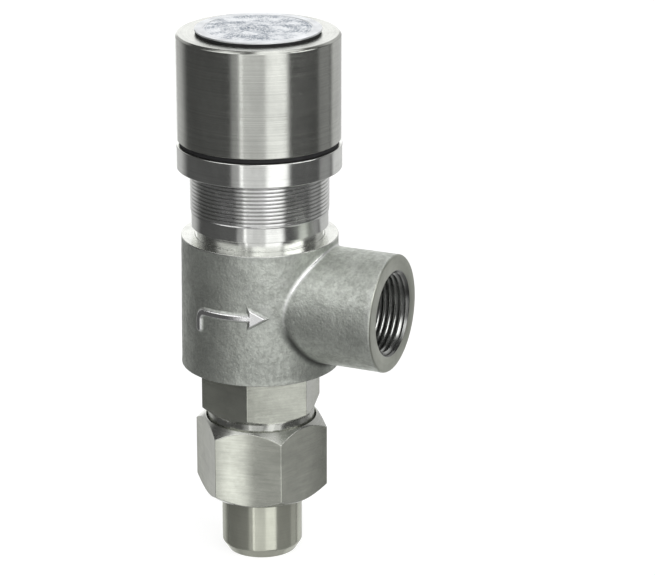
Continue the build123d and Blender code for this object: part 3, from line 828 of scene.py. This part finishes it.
def cast_unevenness(sizes, points, rim_fade=1.5 * MM, face_fade=2 * MM):
    """Sinks a cast skin by smooth noise times the wobble, square to the barrel or to the boss.

    The noise fades out towards the barrel's rims and the outlet's face, which stay in place.
    """
    x, y, z = np.moveaxis(points, -1, 0)
    wide = np.hypot(x, y)
    up = z - sizes.boss_height
    across = np.hypot(y, up)
    onto_boss = np.clip((wide - sizes.bottom_radius) / sizes.blend, 0, 1)
    barrel_way = np.stack([x / wide, y / wide, np.zeros_like(z)], axis=-1)
    boss_way = np.stack([np.zeros_like(x), y, up], axis=-1) / across[..., None]
    away = barrel_way + (boss_way - barrel_way) * onto_boss[..., None]
    away /= np.linalg.norm(away, axis=-1, keepdims=True)
    low_rim, high_rim = low("valve_body") + sizes.rim, high("valve_body") - sizes.rim
    near_rim = np.minimum(z - low_rim, high_rim - z) / rim_fade
    near_face = (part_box("valve_body")[1].x - sizes.face_edge - x) / face_fade
    far_from_rim = 1e3 * onto_boss  # on the boss only its own face counts
    fade = np.clip(np.minimum(near_rim + far_from_rim, near_face), 0, 1)
    depth = sizes.skin_wobble * (1 + 0.5 * soft_noise(x, y, z, seed=4)) * fade
    return points - away * depth[..., None]


def body_patches(sizes, threads, per_side=72):
    """The cast body as one closed skin.

    Round the outlet's axis, one loop of columns runs from the barrel's front half over the fillet
    and the boss, through the outlet's thread and passage, to the wall of the chamber inside. The
    fillet is the path of a ball that touches both the barrel and the boss: its centre lies at
    x = sqrt((R + f)^2 - y^2), and a row turns from the one touching point to the other.
    """
    foot, top, face = low("valve_body"), high("valve_body"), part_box("valve_body")[1].x
    outer_low, outer_high = foot + sizes.rim, top - sizes.rim
    turn = (np.arange(4 * per_side) / per_side - 0.5) * np.pi / 2
    axis_height = sizes.boss_height

    def place(radius, angle, along):
        return around_outlet(radius, angle, along, axis_height)

    # Barrel, fillet and boss. The fillet is widest at the sides, and below them it narrows.
    fillet_rows, boss_rows, rounding_rows, passage_rows = 8, 12, 5, 6
    upper = np.clip((np.cos(turn) + 0.45) / 0.7, 0, 1)
    blend = sizes.blend + (sizes.side_blend - sizes.blend) * np.sin(turn) ** 2 * upper
    centre_y = (sizes.boss_radius + blend) * np.sin(turn)
    centre_z = axis_height + (sizes.boss_radius + blend) * np.cos(turn)
    wall = barrel_radius(sizes, centre_z)
    centre_x = np.sqrt((wall + blend) ** 2 - centre_y**2)
    centre = np.stack([centre_x, centre_y, centre_z], axis=-1)
    inwards = wall / (wall + blend)
    on_barrel = np.stack([centre_x * inwards, centre_y * inwards, centre_z], axis=-1)
    on_boss = place(sizes.boss_radius, turn, centre_x)
    first, last = on_barrel - centre, on_boss - centre
    bend = np.arccos(np.sum(first * last, axis=-1) / blend**2)
    share = np.linspace(0, 1, fillet_rows + 1)[:, None]
    fillet = centre + (
        first * (np.sin((1 - share) * bend) / np.sin(bend))[..., None]
        + last * (np.sin(share * bend) / np.sin(bend))[..., None]
    )
    front = wall_to_hole(
        rectangle_rim(per_side, outer_low, outer_high),
        (np.arctan2(on_barrel[:, 1], on_barrel[:, 0]), on_barrel[:, 2]),
        lambda height: barrel_radius(sizes, height), rows=36,
    )
    edge = sizes.face_edge
    mouth = face - sizes.mouth_depth
    boss_share = np.linspace(0, 1, boss_rows + 1)[1:, None]
    boss = place(sizes.boss_radius, turn, on_boss[:, 0] + (face - edge - on_boss[:, 0]) * boss_share)
    outer_skin = cast_unevenness(sizes, np.concatenate([front, fillet[1:], boss]))
    bend = np.linspace(0, np.pi / 2, rounding_rows + 1)[1:]
    flat = [
        (sizes.boss_radius - edge * (1 - np.cos(t)), face - edge * (1 - np.sin(t))) for t in bend
    ]
    lip = 0.1 * MM
    hole, thread_end = threads.outlet_mouth, face - 0.5 * lip
    flat += [(sizes.boss_radius - edge - lip, face), (hole + lip, face), (hole, thread_end)]
    mouth_rows = np.concatenate(
        [outer_skin[-1:]] + [place(radius, turn, along)[None] for radius, along in flat]
    )
    thread_start = mouth - threads.outlet_turns * threads.outlet_pitch
    crest = threads.outlet_crest
    cone = (hole - crest) / sizes.mouth_depth
    thread = screw_patch(
        place, turn, thread_start, thread_end, threads.outlet_pitch, crest, crest, threads.outlet_root,
        crest_share=0.17, root_share=0.17, countersink=lambda along: hole - cone * (thread_end - along),
    )

    # Passage and the chamber's front wall
    passage_y = sizes.passage_radius * np.sin(turn)
    passage_z = axis_height + sizes.passage_radius * np.cos(turn)
    passage_end = np.sqrt(sizes.cavity_radius**2 - passage_y**2)
    passage_share = np.linspace(0, 1, passage_rows + 1)[:, None]
    passage = place(sizes.passage_radius, turn, thread_start + (passage_end - thread_start) * passage_share)
    step = place(crest, turn, thread_start)
    chamber = wall_to_hole(
        rectangle_rim(per_side, sizes.cavity_floor, sizes.shoulder),
        (np.arctan2(passage_y, passage_end), passage_z),
        lambda height: np.full_like(height, sizes.cavity_radius), rows=12,
    )[::-1]
    inner_skin = np.concatenate([step[None], passage, chamber[1:]])

    # Back halves and the rings above and below
    back = np.pi / 2 + np.pi * np.arange(per_side + 1) / per_side
    side = np.arange(per_side + 1)[:, None] / per_side
    outer_height = outer_high + (outer_low - outer_high) * side
    outer_back = cast_unevenness(
        sizes, around_valve(barrel_radius(sizes, outer_height), back, outer_height)
    )
    inner_back_height = sizes.shoulder + (sizes.cavity_floor - sizes.shoulder) * side
    inner_back = around_valve(sizes.cavity_radius, back, inner_back_height)
    ring = -np.pi / 2 + np.pi * np.arange(2 * per_side) / per_side
    socket, bevel = sizes.socket_radius, 0.3 * MM
    above = turned_patch(
        [
            (barrel_radius(sizes, outer_high), outer_high), (sizes.top_radius, top),
            (socket + bevel, top), (socket, top - bevel), (socket, sizes.shoulder),
            (sizes.cavity_radius, sizes.shoulder),
        ],
        [0.25, 0.1, 0.05, 0], ring,
    )
    below = turned_patch(
        [
            (barrel_radius(sizes, outer_low), outer_low), (sizes.bottom_radius, foot),
            (sizes.stub_radius, foot), (sizes.stub_radius, sizes.cavity_floor),
            (sizes.cavity_radius, sizes.cavity_floor),
        ],
        [0.25, 0.05, 0], ring,
    )
    return [
        grid_patch(outer_skin), grid_patch(mouth_rows), thread, grid_patch(inner_skin),
        grid_patch(outer_back, closed=False), grid_patch(inner_back, closed=False), above, below,
    ]


class VALVE_OT_body(bpy.types.Operator):
    """Cast body with its outlet boss, thread and chamber"""

    bl_idname = "valve.body"
    bl_label = "Valve body"

    def execute(self, context):
        sizes = context.scene.valve_body_sizes
        threads = context.scene.valve_threads
        piece = piece_from(
            "cast_body", body_patches(sizes, threads), "blasted_casting", "valve",
            "valve_body",
        )
        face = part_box("valve_body")[1].x
        x, y, z = measured(piece.data.polygons, "center")
        across = np.hypot(y, z - sizes.boss_height)
        in_outlet = (across < sizes.boss_radius - 1 * MM) & (x > sizes.cavity_radius + 2 * MM)
        faced = (x > face - 0.5 * sizes.face_edge) | in_outlet
        threaded = (across < threads.outlet_mouth + 5 * HAIR) & (x < face - HAIR)
        ledge = (z > high("valve_body") - sizes.rim) | (np.hypot(x, y) < sizes.socket_radius + 0.2 * MM)
        more_finishes(
            piece, np.select([faced & threaded, faced, ledge], [3, 1, 2]),
            "machined_face", "ledge_steel", "outlet_thread",
        )
        x, y, z = measured(piece.data.vertices, "co")
        off_barrel = np.hypot(x, y) - barrel_radius(sizes, z)
        off_boss = np.hypot(y, z - sizes.boss_height) - sizes.boss_radius
        # The fillet's upper sides get a painted highlight (a lighter colour) and a smoother finish, fully
        # from 3 mm above the outlet's axis and not at all 9 mm below it. Painted shade darkens the sharper
        # crease further down, and thins out away from it.
        lowest, climb, crease_shade_width = -9 * MM, 12 * MM, 1.8 * MM
        up = np.clip((z - sizes.boss_height - lowest) / climb, 0, 1)
        fillet_highlight = (np.minimum(off_barrel, off_boss) + sizes.skin_wobble) / (0.1 * sizes.side_blend)
        crease = 1.15 - np.maximum(off_barrel, off_boss) / crease_shade_width
        keep_share(piece, "wear_and_highlight", fillet_highlight * up * (x > 0))
        keep_share(piece, "crease_shade", crease * (1 - up) * (x > 0))
        return {"FINISHED"}


def distance_to_run(u, v, start, end):
    """Distance from points to a straight run between two places."""
    run = np.subtract(end, start)
    share = ((u - start[0]) * run[0] + (v - start[1]) * run[1]) / np.dot(run, run)
    share = np.clip(share, 0, 1)
    return np.hypot(u - start[0] - run[0] * share, v - start[1] - run[1] * share)


def flow_arrow(u, v, mark):
    """How far points are outside the arrow: up from the inlet, round a bend and out to the right.

    The shaft is the distance to its runs less half its width, the head is the greatest distance
    beyond its three edges, and the arrow is the lesser of the two.
    """
    left, right = -0.5 * mark.width, 0.5 * mark.width
    foot, middle = -0.5 * mark.height, 0.5 * mark.height - mark.head
    bend = np.linspace(np.pi, np.pi / 2, 7)
    shaft_left = left + mark.stroke
    turning = [
        (shaft_left + mark.bend * (1 + np.cos(t)), middle - mark.bend * (1 - np.sin(t))) for t in bend
    ]
    places = [(shaft_left, foot + mark.stroke), *turning, (right - mark.head_length, middle)]
    shaft = np.min([distance_to_run(u, v, a, b) for a, b in zip(places, places[1:])], axis=0) - mark.stroke
    slope = np.arctan2(mark.head, mark.head_length)
    ahead = (u - right) * np.sin(slope)
    beyond = [ahead + (v - middle) * np.cos(slope), ahead - (v - middle) * np.cos(slope)]
    head = np.maximum(np.maximum(*beyond), right - mark.head_length - u)
    return np.minimum(shaft, head)


def flow_mark_patches(sizes, mark):
    """The arrow in relief on the barrel: a rounded ridge whose borders dip under the cast skin.

    The height above the skin rises smoothly from the arrow's edge to its middle and falls below
    the skin outside it; a second layer at the lowest depth closes the piece from behind.
    """
    margin, sunk, step = 1.6 * MM, 0.6 * MM, 0.2 * MM
    u = np.arange(-0.5 * mark.width - margin, 0.5 * mark.width + margin, step)
    v = np.arange(-0.5 * mark.height - margin, 0.5 * mark.height + margin, step)
    v, u = np.meshgrid(v, u, indexing="ij")
    outside = flow_arrow(u, v, mark)
    ridge_start, ridge_side, dip_start, dip_side = 0.25 * MM, 1.15 * MM, 0.2 * MM, 1.0 * MM
    rise = mark.relief * smooth((ridge_start - outside) / ridge_side)
    fall = sunk * smooth((outside - dip_start) / dip_side)
    z = mark.mark_height + v
    radius = barrel_radius(sizes, z)
    angle = mark.side + u / radius
    front = around_valve(radius + rise - fall, angle, z)
    behind = around_valve(radius - sunk, angle, z)
    border = np.ones(u.shape, bool)
    border[1:-1, 1:-1] = False
    front[border] = behind[border]
    return [grid_patch(front, closed=False), grid_patch(behind, closed=False)]


class VALVE_OT_flow_mark(bpy.types.Operator):
    """Cast flow arrow on the body"""

    bl_idname = "valve.flow_mark"
    bl_label = "Flow mark"

    def execute(self, context):
        scene = context.scene
        sizes, mark = scene.valve_body_sizes, scene.valve_flow_mark
        piece = piece_from(
            "flow_arrow", flow_mark_patches(sizes, mark), "blasted_casting", "valve",
            sharp=np.radians(80),
        )
        x, y, z = measured(piece.data.vertices, "co")
        # Real wear: the raised arrow is rubbed lighter and smoother towards its top.
        keep_share(piece, "wear_and_highlight", (np.hypot(x, y) - barrel_radius(sizes, z)) / mark.relief)
        return {"FINISHED"}


class VALVE_OT_nozzle(bpy.types.Operator):
    """Seat nozzle with its hexagon neck and union thread"""

    bl_idname = "valve.nozzle"
    bl_label = "Seat nozzle"

    def execute(self, context):
        sizes = context.scene.valve_inlet_sizes
        hexagons = context.scene.valve_hexagons
        threads = context.scene.valve_threads
        radius, angles = hexagon_outline(
            hexagons.neck_flat, hexagons.neck_turn, hexagons.corner, hexagons.hollow
        )
        foot, seat = low("inlet_nozzle"), high("inlet_nozzle")
        under, over = sizes.hexagon_foot, low("nozzle_gasket")
        ledge = context.scene.valve_body_sizes.cavity_floor
        cone = under + (radius - hexagons.neck_flat + sizes.corner_cut) * hexagons.neck_slope
        crest = threads.union_crest
        root = threads.metric_root(crest, threads.union_pitch)
        thread_low = foot + sizes.spigot_bevel
        thread_high = under - sizes.shank
        shoulder = seat - sizes.seat_rise
        upper = turned_patch(
            [
                (crest, thread_high), (crest, under), (radius, cone), (radius, over), (sizes.stub, over),
                (sizes.stub, ledge), (sizes.nose, ledge), (sizes.nose, shoulder), (sizes.land, shoulder),
                (sizes.land, seat), (sizes.throat, seat), (sizes.throat, foot + sizes.taper),
                (sizes.bore, foot), (crest - sizes.spigot_bevel, foot), (crest, thread_low),
            ],
            [0, 0.3, 0.2] + [0] * 10, angles,
        )
        thread = screw_patch(
            around_valve, angles, thread_low, thread_high, threads.union_pitch, crest, crest, root
        )
        piece = piece_from(
            "seat_nozzle", [upper, thread], "neck_steel", "valve", "inlet_nozzle"
        )
        height = measured(piece.data.polygons, "center")[2]
        beside = (height < under + 2 * HAIR) | (height > over - 2 * HAIR)
        more_finishes(piece, lathe_cut(piece) | beside, "lathe_steel")
        return {"FINISHED"}


class VALVE_OT_union_nut(bpy.types.Operator):
    """Union nut with turned corners and a threaded bore"""

    bl_idname = "valve.union_nut"
    bl_label = "Union nut"

    def execute(self, context):
        sizes = context.scene.valve_inlet_sizes
        hexagons = context.scene.valve_hexagons
        radius, angles = hexagon_outline(
            hexagons.nut_flat, hexagons.nut_turn, hexagons.corner, hexagons.hollow
        )
        foot, top = low("union_nut"), high("union_nut")
        face = hexagons.nut_flat - sizes.corner_cut
        threads = context.scene.valve_threads
        bore = threads.union_crest + threads.running_gap
        lip_top = foot + sizes.lip_height
        outside = turned_patch(
            [
                (sizes.lip, lip_top), (sizes.lip, foot), (face, foot),
                (radius, foot + (radius - face) * hexagons.nut_foot_slope),
                (radius, top - (radius - face) * hexagons.nut_top_slope), (face, top),
                (bore + sizes.mouth, top), (bore, top - sizes.mouth_depth), (bore, lip_top),
                (sizes.lip, lip_top),
            ],
            [0.2, 0.15, 0.25, 0.25, 0.08, 0.08, 0, 0], angles,
        )
        piece = piece_from(
            "hexagon_nut", [outside], "milled_steel", "union_nut", "union_nut"
        )
        more_finishes(piece, lathe_cut(piece), "lathe_steel")
        return {"FINISHED"}


class VALVE_OT_weld_nipple(bpy.types.Operator):
    """Weld nipple with its bevelled end"""

    bl_idname = "valve.weld_nipple"
    bl_label = "Weld nipple"

    def execute(self, context):
        sizes = context.scene.valve_inlet_sizes
        bore, pipe, waist = sizes.bore, sizes.pipe, sizes.waist
        foot, top, collar = low("weld_nipple"), high("weld_nipple"), reach("weld_nipple")
        collar_low = top - sizes.collar
        turned_piece(
            "pipe_nipple", "weld_nipple", "nipple", "satin_steel",
            [
                (bore, top), (bore, foot), (bore + sizes.weld_land, foot), (pipe, foot + sizes.weld_bevel),
                (pipe, sizes.neck), (waist, sizes.neck), (waist, collar_low), (collar, collar_low),
                (collar, top), (bore, top),
            ],
            [0.1, 0.15, 0.5, 0, 0, 0, 0.3, 0.3],
        )
        return {"FINISHED"}


class VALVE_OT_sleeve(bpy.types.Operator):
    """Threaded sleeve above the body"""

    bl_idname = "valve.sleeve"
    bl_label = "Sleeve"

    def execute(self, context):
        sizes = context.scene.valve_bonnet_sizes
        threads = context.scene.valve_threads
        angles = ring_angles()
        body_top = high("valve_body")
        foot, top = low("bonnet_sleeve"), high("bonnet_sleeve")
        crest = threads.sleeve_crest
        root = threads.metric_root(crest, threads.sleeve_pitch)
        band = crest - sizes.band_step
        band_low = body_top + sizes.groove_height
        thread_low = band_low + sizes.band_height
        thread_high = top - sizes.sleeve_bevel
        skin = turned_patch(
            [
                (crest, thread_high), (crest - sizes.sleeve_bevel, top), (sizes.bore, top),
                (sizes.bore, foot), (sizes.socket, foot), (sizes.socket, body_top),
                (sizes.groove, body_top), (sizes.groove, band_low), (band, band_low), (band, thread_low),
            ],
            [0, 0.1, 0.1, 0.1, 0, 0, 0, 0.2], angles,
        )
        thread = screw_patch(
            around_valve, angles, thread_low, thread_high, threads.sleeve_pitch, band, crest, root,
            crest_share=0.44, root_share=0.12,
        )
        close = turned_patch([(band, thread_high), (crest, thread_high)], [], angles)
        piece = piece_from(
            "threaded_sleeve", [skin, thread, close], "threaded_steel", "valve",
            "bonnet_sleeve",
        )
        x, y, z = measured(piece.data.polygons, "center")
        plain = (z < thread_low) | (np.hypot(x, y) < sizes.bore + 1 * MM)
        more_finishes(piece, plain, "bright_steel")
        return {"FINISHED"}


class VALVE_OT_lock_ring(bpy.types.Operator):
    """Lock ring and the rubber seal on top of it"""

    bl_idname = "valve.lock_ring"
    bl_label = "Lock ring"

    def execute(self, context):
        sizes = context.scene.valve_bonnet_sizes
        for name, node, body, slot, finish, bore, edges in (
            ("locking_ring", "lock_ring", "lock_ring", "turned_steel", "bright_steel",
             sizes.ring_bore, (0.4, 0.45, 0.45)),
            ("rubber_seal", "lock_ring_seal", "ring_seal", "black_rubber", "moulded_rubber",
             sizes.seal_bore, (0.1, 0.6, 0.6)),
        ):
            foot, top, radius = low(node), high(node), reach(node)
            turned_piece(
                name, node, body, finish,
                [(bore, top), (bore, foot), (radius, foot), (radius, top), (bore, top)], edges,
            )
        return {"FINISHED"}


class VALVE_OT_cap(bpy.types.Operator):
    """Adjusting cap, a deep threaded cup"""

    bl_idname = "valve.cap"
    bl_label = "Adjusting cap"

    def execute(self, context):
        sizes = context.scene.valve_bonnet_sizes
        foot, top, radius = low("adjusting_cap"), high("adjusting_cap"), reach("adjusting_cap")
        bore, edge, foot_edge = sizes.ring_bore, sizes.cap_edge, 0.3 * MM
        ceiling = top - sizes.ceiling
        turned_piece(
            "setting_cap", "adjusting_cap", "cap", "fine_lathe_steel",
            [
                (0, ceiling), (bore, ceiling), (bore, foot), (radius - foot_edge, foot),
                (radius, foot + foot_edge), (radius, top - edge), (radius - edge, top), (0, top),
            ],
            [0, 0.3, 0.1, 0.1, 0.3, 0.3],
        )
        return {"FINISHED"}


class VALVE_OT_nameplate(bpy.types.Operator):
    """Nameplate and its black backing"""

    bl_idname = "valve.nameplate"
    bl_label = "Nameplate"

    def execute(self, context):
        sizes = context.scene.valve_bonnet_sizes
        foot, top, radius = low("nameplate"), high("nameplate"), reach("nameplate")
        border, field = radius - sizes.border, top - sizes.recess
        turned_piece(
            "etched_nameplate", "nameplate", "cap", "etched_plate",
            [(0, foot), (radius, foot), (radius, top), (border, top), (border, field), (0, field)],
            [0.1, 0.15, 0.05, 0.05],
        )
        foot, top, radius = low("nameplate_pad"), high("nameplate_pad"), reach("nameplate_pad")
        turned_piece(
            "backing_pad", "nameplate_pad", "cap", "moulded_rubber",
            [(0, foot), (radius, foot), (radius, top), (0, top)], [0.2, 0.2],
        )
        return {"FINISHED"}


def coil_patches(sizes, foot, top, radius, per_coil=48, per_round=24):
    """Coiled wire with closed, ground ends.

    A circle of wire is carried along a helix whose height is start + rise (s - k sin(2 pi s) / 2 pi),
    with s from 0 to 1; k lays the end coils close. What passes an end plane is laid flat on it.
    """
    wire = sizes.wire / 2
    rise = top - foot - sizes.wire + 2 * sizes.bed
    slowing = 1 - sizes.coils * (sizes.wire + sizes.end_gap) / rise
    share = np.linspace(0, 1, round(sizes.coils * per_coil) + 1)[:, None]
    height = foot + wire - sizes.bed + rise * (share - slowing * np.sin(TURN * share) / TURN)
    way = np.linspace(0, TURN, per_round, endpoint=False)
    tube = around_valve(
        radius - wire + wire * np.cos(way), TURN * sizes.coils * share,
        np.clip(height + wire * np.sin(way), foot, top),
    )
    ends = [
        np.stack([np.broadcast_to(rim.mean(axis=0), rim.shape), rim]) for rim in (tube[0], tube[-1])
    ]
    return [grid_patch(rows) for rows in [tube] + ends]


class VALVE_OT_spring(bpy.types.Operator):
    """Main spring, built at the length of its solid; the real spring shortens as the disc lifts"""

    bl_idname = "valve.spring"
    bl_label = "Main spring"

    def execute(self, context):
        foot, top, radius = low("main_spring"), high("main_spring"), reach("main_spring")
        piece = piece_from(
            "coil_spring", coil_patches(context.scene.valve_spring_sizes, foot, top, radius),
            "milled_steel", "valve", "main_spring",
        )
        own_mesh(piece)
        return {"FINISHED"}


class VALVE_OT_inner_pieces(bpy.types.Operator):
    """Finishes of the pieces inside the valve"""

    bl_idname = "valve.inner_pieces"
    bl_label = "Inner pieces"

    def execute(self, context):
        finish = {
            "lathe_steel": ["guide_plate", "valve_disc", "seal_washer", "seal_screw", "stem",
                             "lower_spring_button", "upper_spring_button"],
            "milled_steel": ["stem_retainer", "thrust_ball"],
            "waxy_plastic": ["union_gasket", "nozzle_gasket", "guide_gasket", "sleeve_gasket", "disc_seal"],
            "bearing_bronze": ["guide_bush"],
        }
        for key, nodes in finish.items():
            for node in nodes:
                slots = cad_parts[node].data.materials
                for place in range(len(slots)):
                    slots[place] = shared_material(key)
        return {"FINISHED"}


class StageSizes(bpy.types.PropertyGroup):
    """Camera, floor and light."""

    azimuth: degrees("Camera side", 23.9, "Camera's angle round the valve, from the front")
    pitch: degrees("Camera height", 19.0, "How far the camera looks down")
    distance: length("Camera distance", 1115.4 * MM, "Camera to the point it looks at")
    lens: FloatProperty(name="Lens", description="Focal length in millimetres", default=157.2)
    aim: FloatVectorProperty(
        name="Aim", description="Point that the camera looks at",
        default=(23.95 * MM, 10.6 * MM, 108.6 * MM), subtype="XYZ",
    )
    light: FloatProperty(name="Light", description="Strength of the studio light", default=1.3)
    floor_half: length("Floor", 3.0, "Half the width of the floor")


def soft_card(shading, angle, rise, card):
    """The light of a soft box at an angle round the valve and a rise above the horizon."""
    left, right, bottom, top, edge, level = np.radians(card[:5]).tolist() + [card[5]]
    borders = (
        (angle, left - edge, left + edge), (angle, right + edge, right - edge),
        (rise, bottom - CARD_RISE, bottom + CARD_RISE), (rise, top + CARD_RISE, top - CARD_RISE),
    )
    return shading.times(
        *[shading.spread(*border, interpolation_type="SMOOTHSTEP") for border in borders], level
    )


def studio_world(light, facing):
    """A studio round the valve: white behind it, tall soft boxes in front, dark screens at its sides.

    Each soft box is bright between two angles round the valve and two heights above the horizon,
    with smooth edges, and the brightest one counts. Angles run from the camera's side, to the right.
    The camera itself sees plain white.
    """
    world = bpy.data.worlds.new("studio")
    bpy.context.scene.world = world
    world.use_nodes = True
    shading = Shading(world.node_tree)
    world.node_tree.nodes.clear()
    direction = shading.put("TexCoord").outputs["Generated"]
    x, y, z = shading.put("SeparateXYZ", {0: direction}).outputs
    angle = shading.math("SUBTRACT", shading.math("ARCTAN2", y, x), facing)
    angle = shading.math("WRAP", angle, np.pi, -np.pi)
    rise = shading.math("ARCSINE", z)
    glow = shading.spread(rise, *np.radians(GROUND_EDGE).tolist(), GROUND_GLOW, DIM_GLOW)
    for card in STUDIO_CARDS:
        glow = shading.math("MAXIMUM", glow, soft_card(shading, angle, rise, card))
    studio = shading.put("Background", {"Color": WHITE, "Strength": shading.times(glow, light)})
    white = shading.put("Background", {"Color": WHITE, "Strength": 1.0})
    seen = shading.put("LightPath").outputs["Is Camera Ray"]
    mixed = shading.put("MixShader", {0: seen, 1: studio.outputs[0], 2: white.outputs[0]})
    shading.put("OutputWorld", {"Surface": mixed.outputs[0]})


def white_floor(colour):
    """Studio floor: pale, with enough of its own white that only the valve's shadow shows."""
    material = bpy.data.materials.new("floor")
    material.use_nodes = True
    shading = Shading(material.node_tree)
    material.node_tree.nodes.clear()
    plain = shading.put("BsdfDiffuse", {"Color": rgba(colour, FLOOR_PAINT)})
    own = shading.put("Emission", {"Color": WHITE, "Strength": FLOOR_GLOW})
    both = shading.put("AddShader", {0: plain.outputs[0], 1: own.outputs[0]})
    shading.put("OutputMaterial", {"Surface": both.outputs[0]})
    return material


class VALVE_OT_stage(bpy.types.Operator):
    """Floor, studio light and camera"""

    bl_idname = "valve.stage"
    bl_label = "Stage"

    def execute(self, context):
        stage = context.scene.valve_stage
        half = stage.floor_half
        corners = np.array([[-half, -half, 0], [half, -half, 0], [half, half, 0], [-half, half, 0]])
        mesh = bpy.data.meshes.new("floor")
        mesh.from_pydata(corners, [], [(0, 1, 2, 3)])
        mesh.materials.append(white_floor(context.scene.valve_finishes.floor))
        floor = bpy.data.objects.new("floor", mesh)
        context.scene.collection.objects.link(floor)
        floor.visible_glossy = False
        floor.visible_diffuse = False
        floor.visible_shadow = False
        facing = stage.azimuth - np.pi / 2
        level, rise = np.cos(stage.pitch), np.sin(stage.pitch)
        back = Vector((np.cos(facing) * level, np.sin(facing) * level, rise))
        camera = bpy.data.objects.new("camera", bpy.data.cameras.new("camera"))
        camera.data.lens = stage.lens
        camera.data.sensor_width = SENSOR_WIDTH
        camera.data.clip_end = FARTHEST
        camera.location = Vector(stage.aim) + back * stage.distance
        camera.rotation_euler = (np.pi / 2 - stage.pitch, 0, stage.azimuth)
        context.scene.collection.objects.link(camera)
        context.scene.camera = camera
        studio_world(stage.light, facing)
        context.scene.view_settings.view_transform = "Standard"
        return {"FINISHED"}


class VALVE_PT_panel(bpy.types.Panel):
    """Builders of the valve's pieces"""

    bl_idname = "VALVE_PT_panel"
    bl_label = "Pressure relief valve"
    bl_space_type = "VIEW_3D"
    bl_region_type = "UI"
    bl_category = "Valve"

    def draw(self, context):
        for operator in OPERATORS:
            self.layout.operator(operator.bl_idname)


GROUPS = {
    "valve_body_sizes": BodySizes,
    "valve_flow_mark": FlowMark,
    "valve_threads": ThreadSizes,
    "valve_hexagons": HexagonSizes,
    "valve_inlet_sizes": InletSizes,
    "valve_bonnet_sizes": BonnetSizes,
    "valve_spring_sizes": SpringSizes,
    "valve_finishes": Finishes,
    "valve_stage": StageSizes,
}
OPERATORS = (
    VALVE_OT_body,
    VALVE_OT_flow_mark,
    VALVE_OT_nozzle,
    VALVE_OT_union_nut,
    VALVE_OT_weld_nipple,
    VALVE_OT_sleeve,
    VALVE_OT_lock_ring,
    VALVE_OT_cap,
    VALVE_OT_nameplate,
    VALVE_OT_spring,
    VALVE_OT_inner_pieces,
    VALVE_OT_stage,
)


def register():
    for group in GROUPS.values():
        bpy.utils.register_class(group)
    for name, group in GROUPS.items():
        setattr(bpy.types.Scene, name, PointerProperty(type=group))
    for operator in OPERATORS:
        bpy.utils.register_class(operator)
    bpy.utils.register_class(VALVE_PT_panel)


def unregister():
    bpy.utils.unregister_class(VALVE_PT_panel)
    for operator in reversed(OPERATORS):
        bpy.utils.unregister_class(operator)
    for name in GROUPS:
        delattr(bpy.types.Scene, name)
    for group in reversed(GROUPS.values()):
        bpy.utils.unregister_class(group)


def main():
    register()
    bpy.ops.valve.body()
    bpy.ops.valve.flow_mark()
    bpy.ops.valve.nozzle()
    bpy.ops.valve.union_nut()
    bpy.ops.valve.weld_nipple()
    bpy.ops.valve.sleeve()
    bpy.ops.valve.lock_ring()
    bpy.ops.valve.cap()
    bpy.ops.valve.nameplate()
    bpy.ops.valve.spring()
    bpy.ops.valve.inner_pieces()
    bpy.ops.valve.stage()


if __name__ == "__main__":
    main()
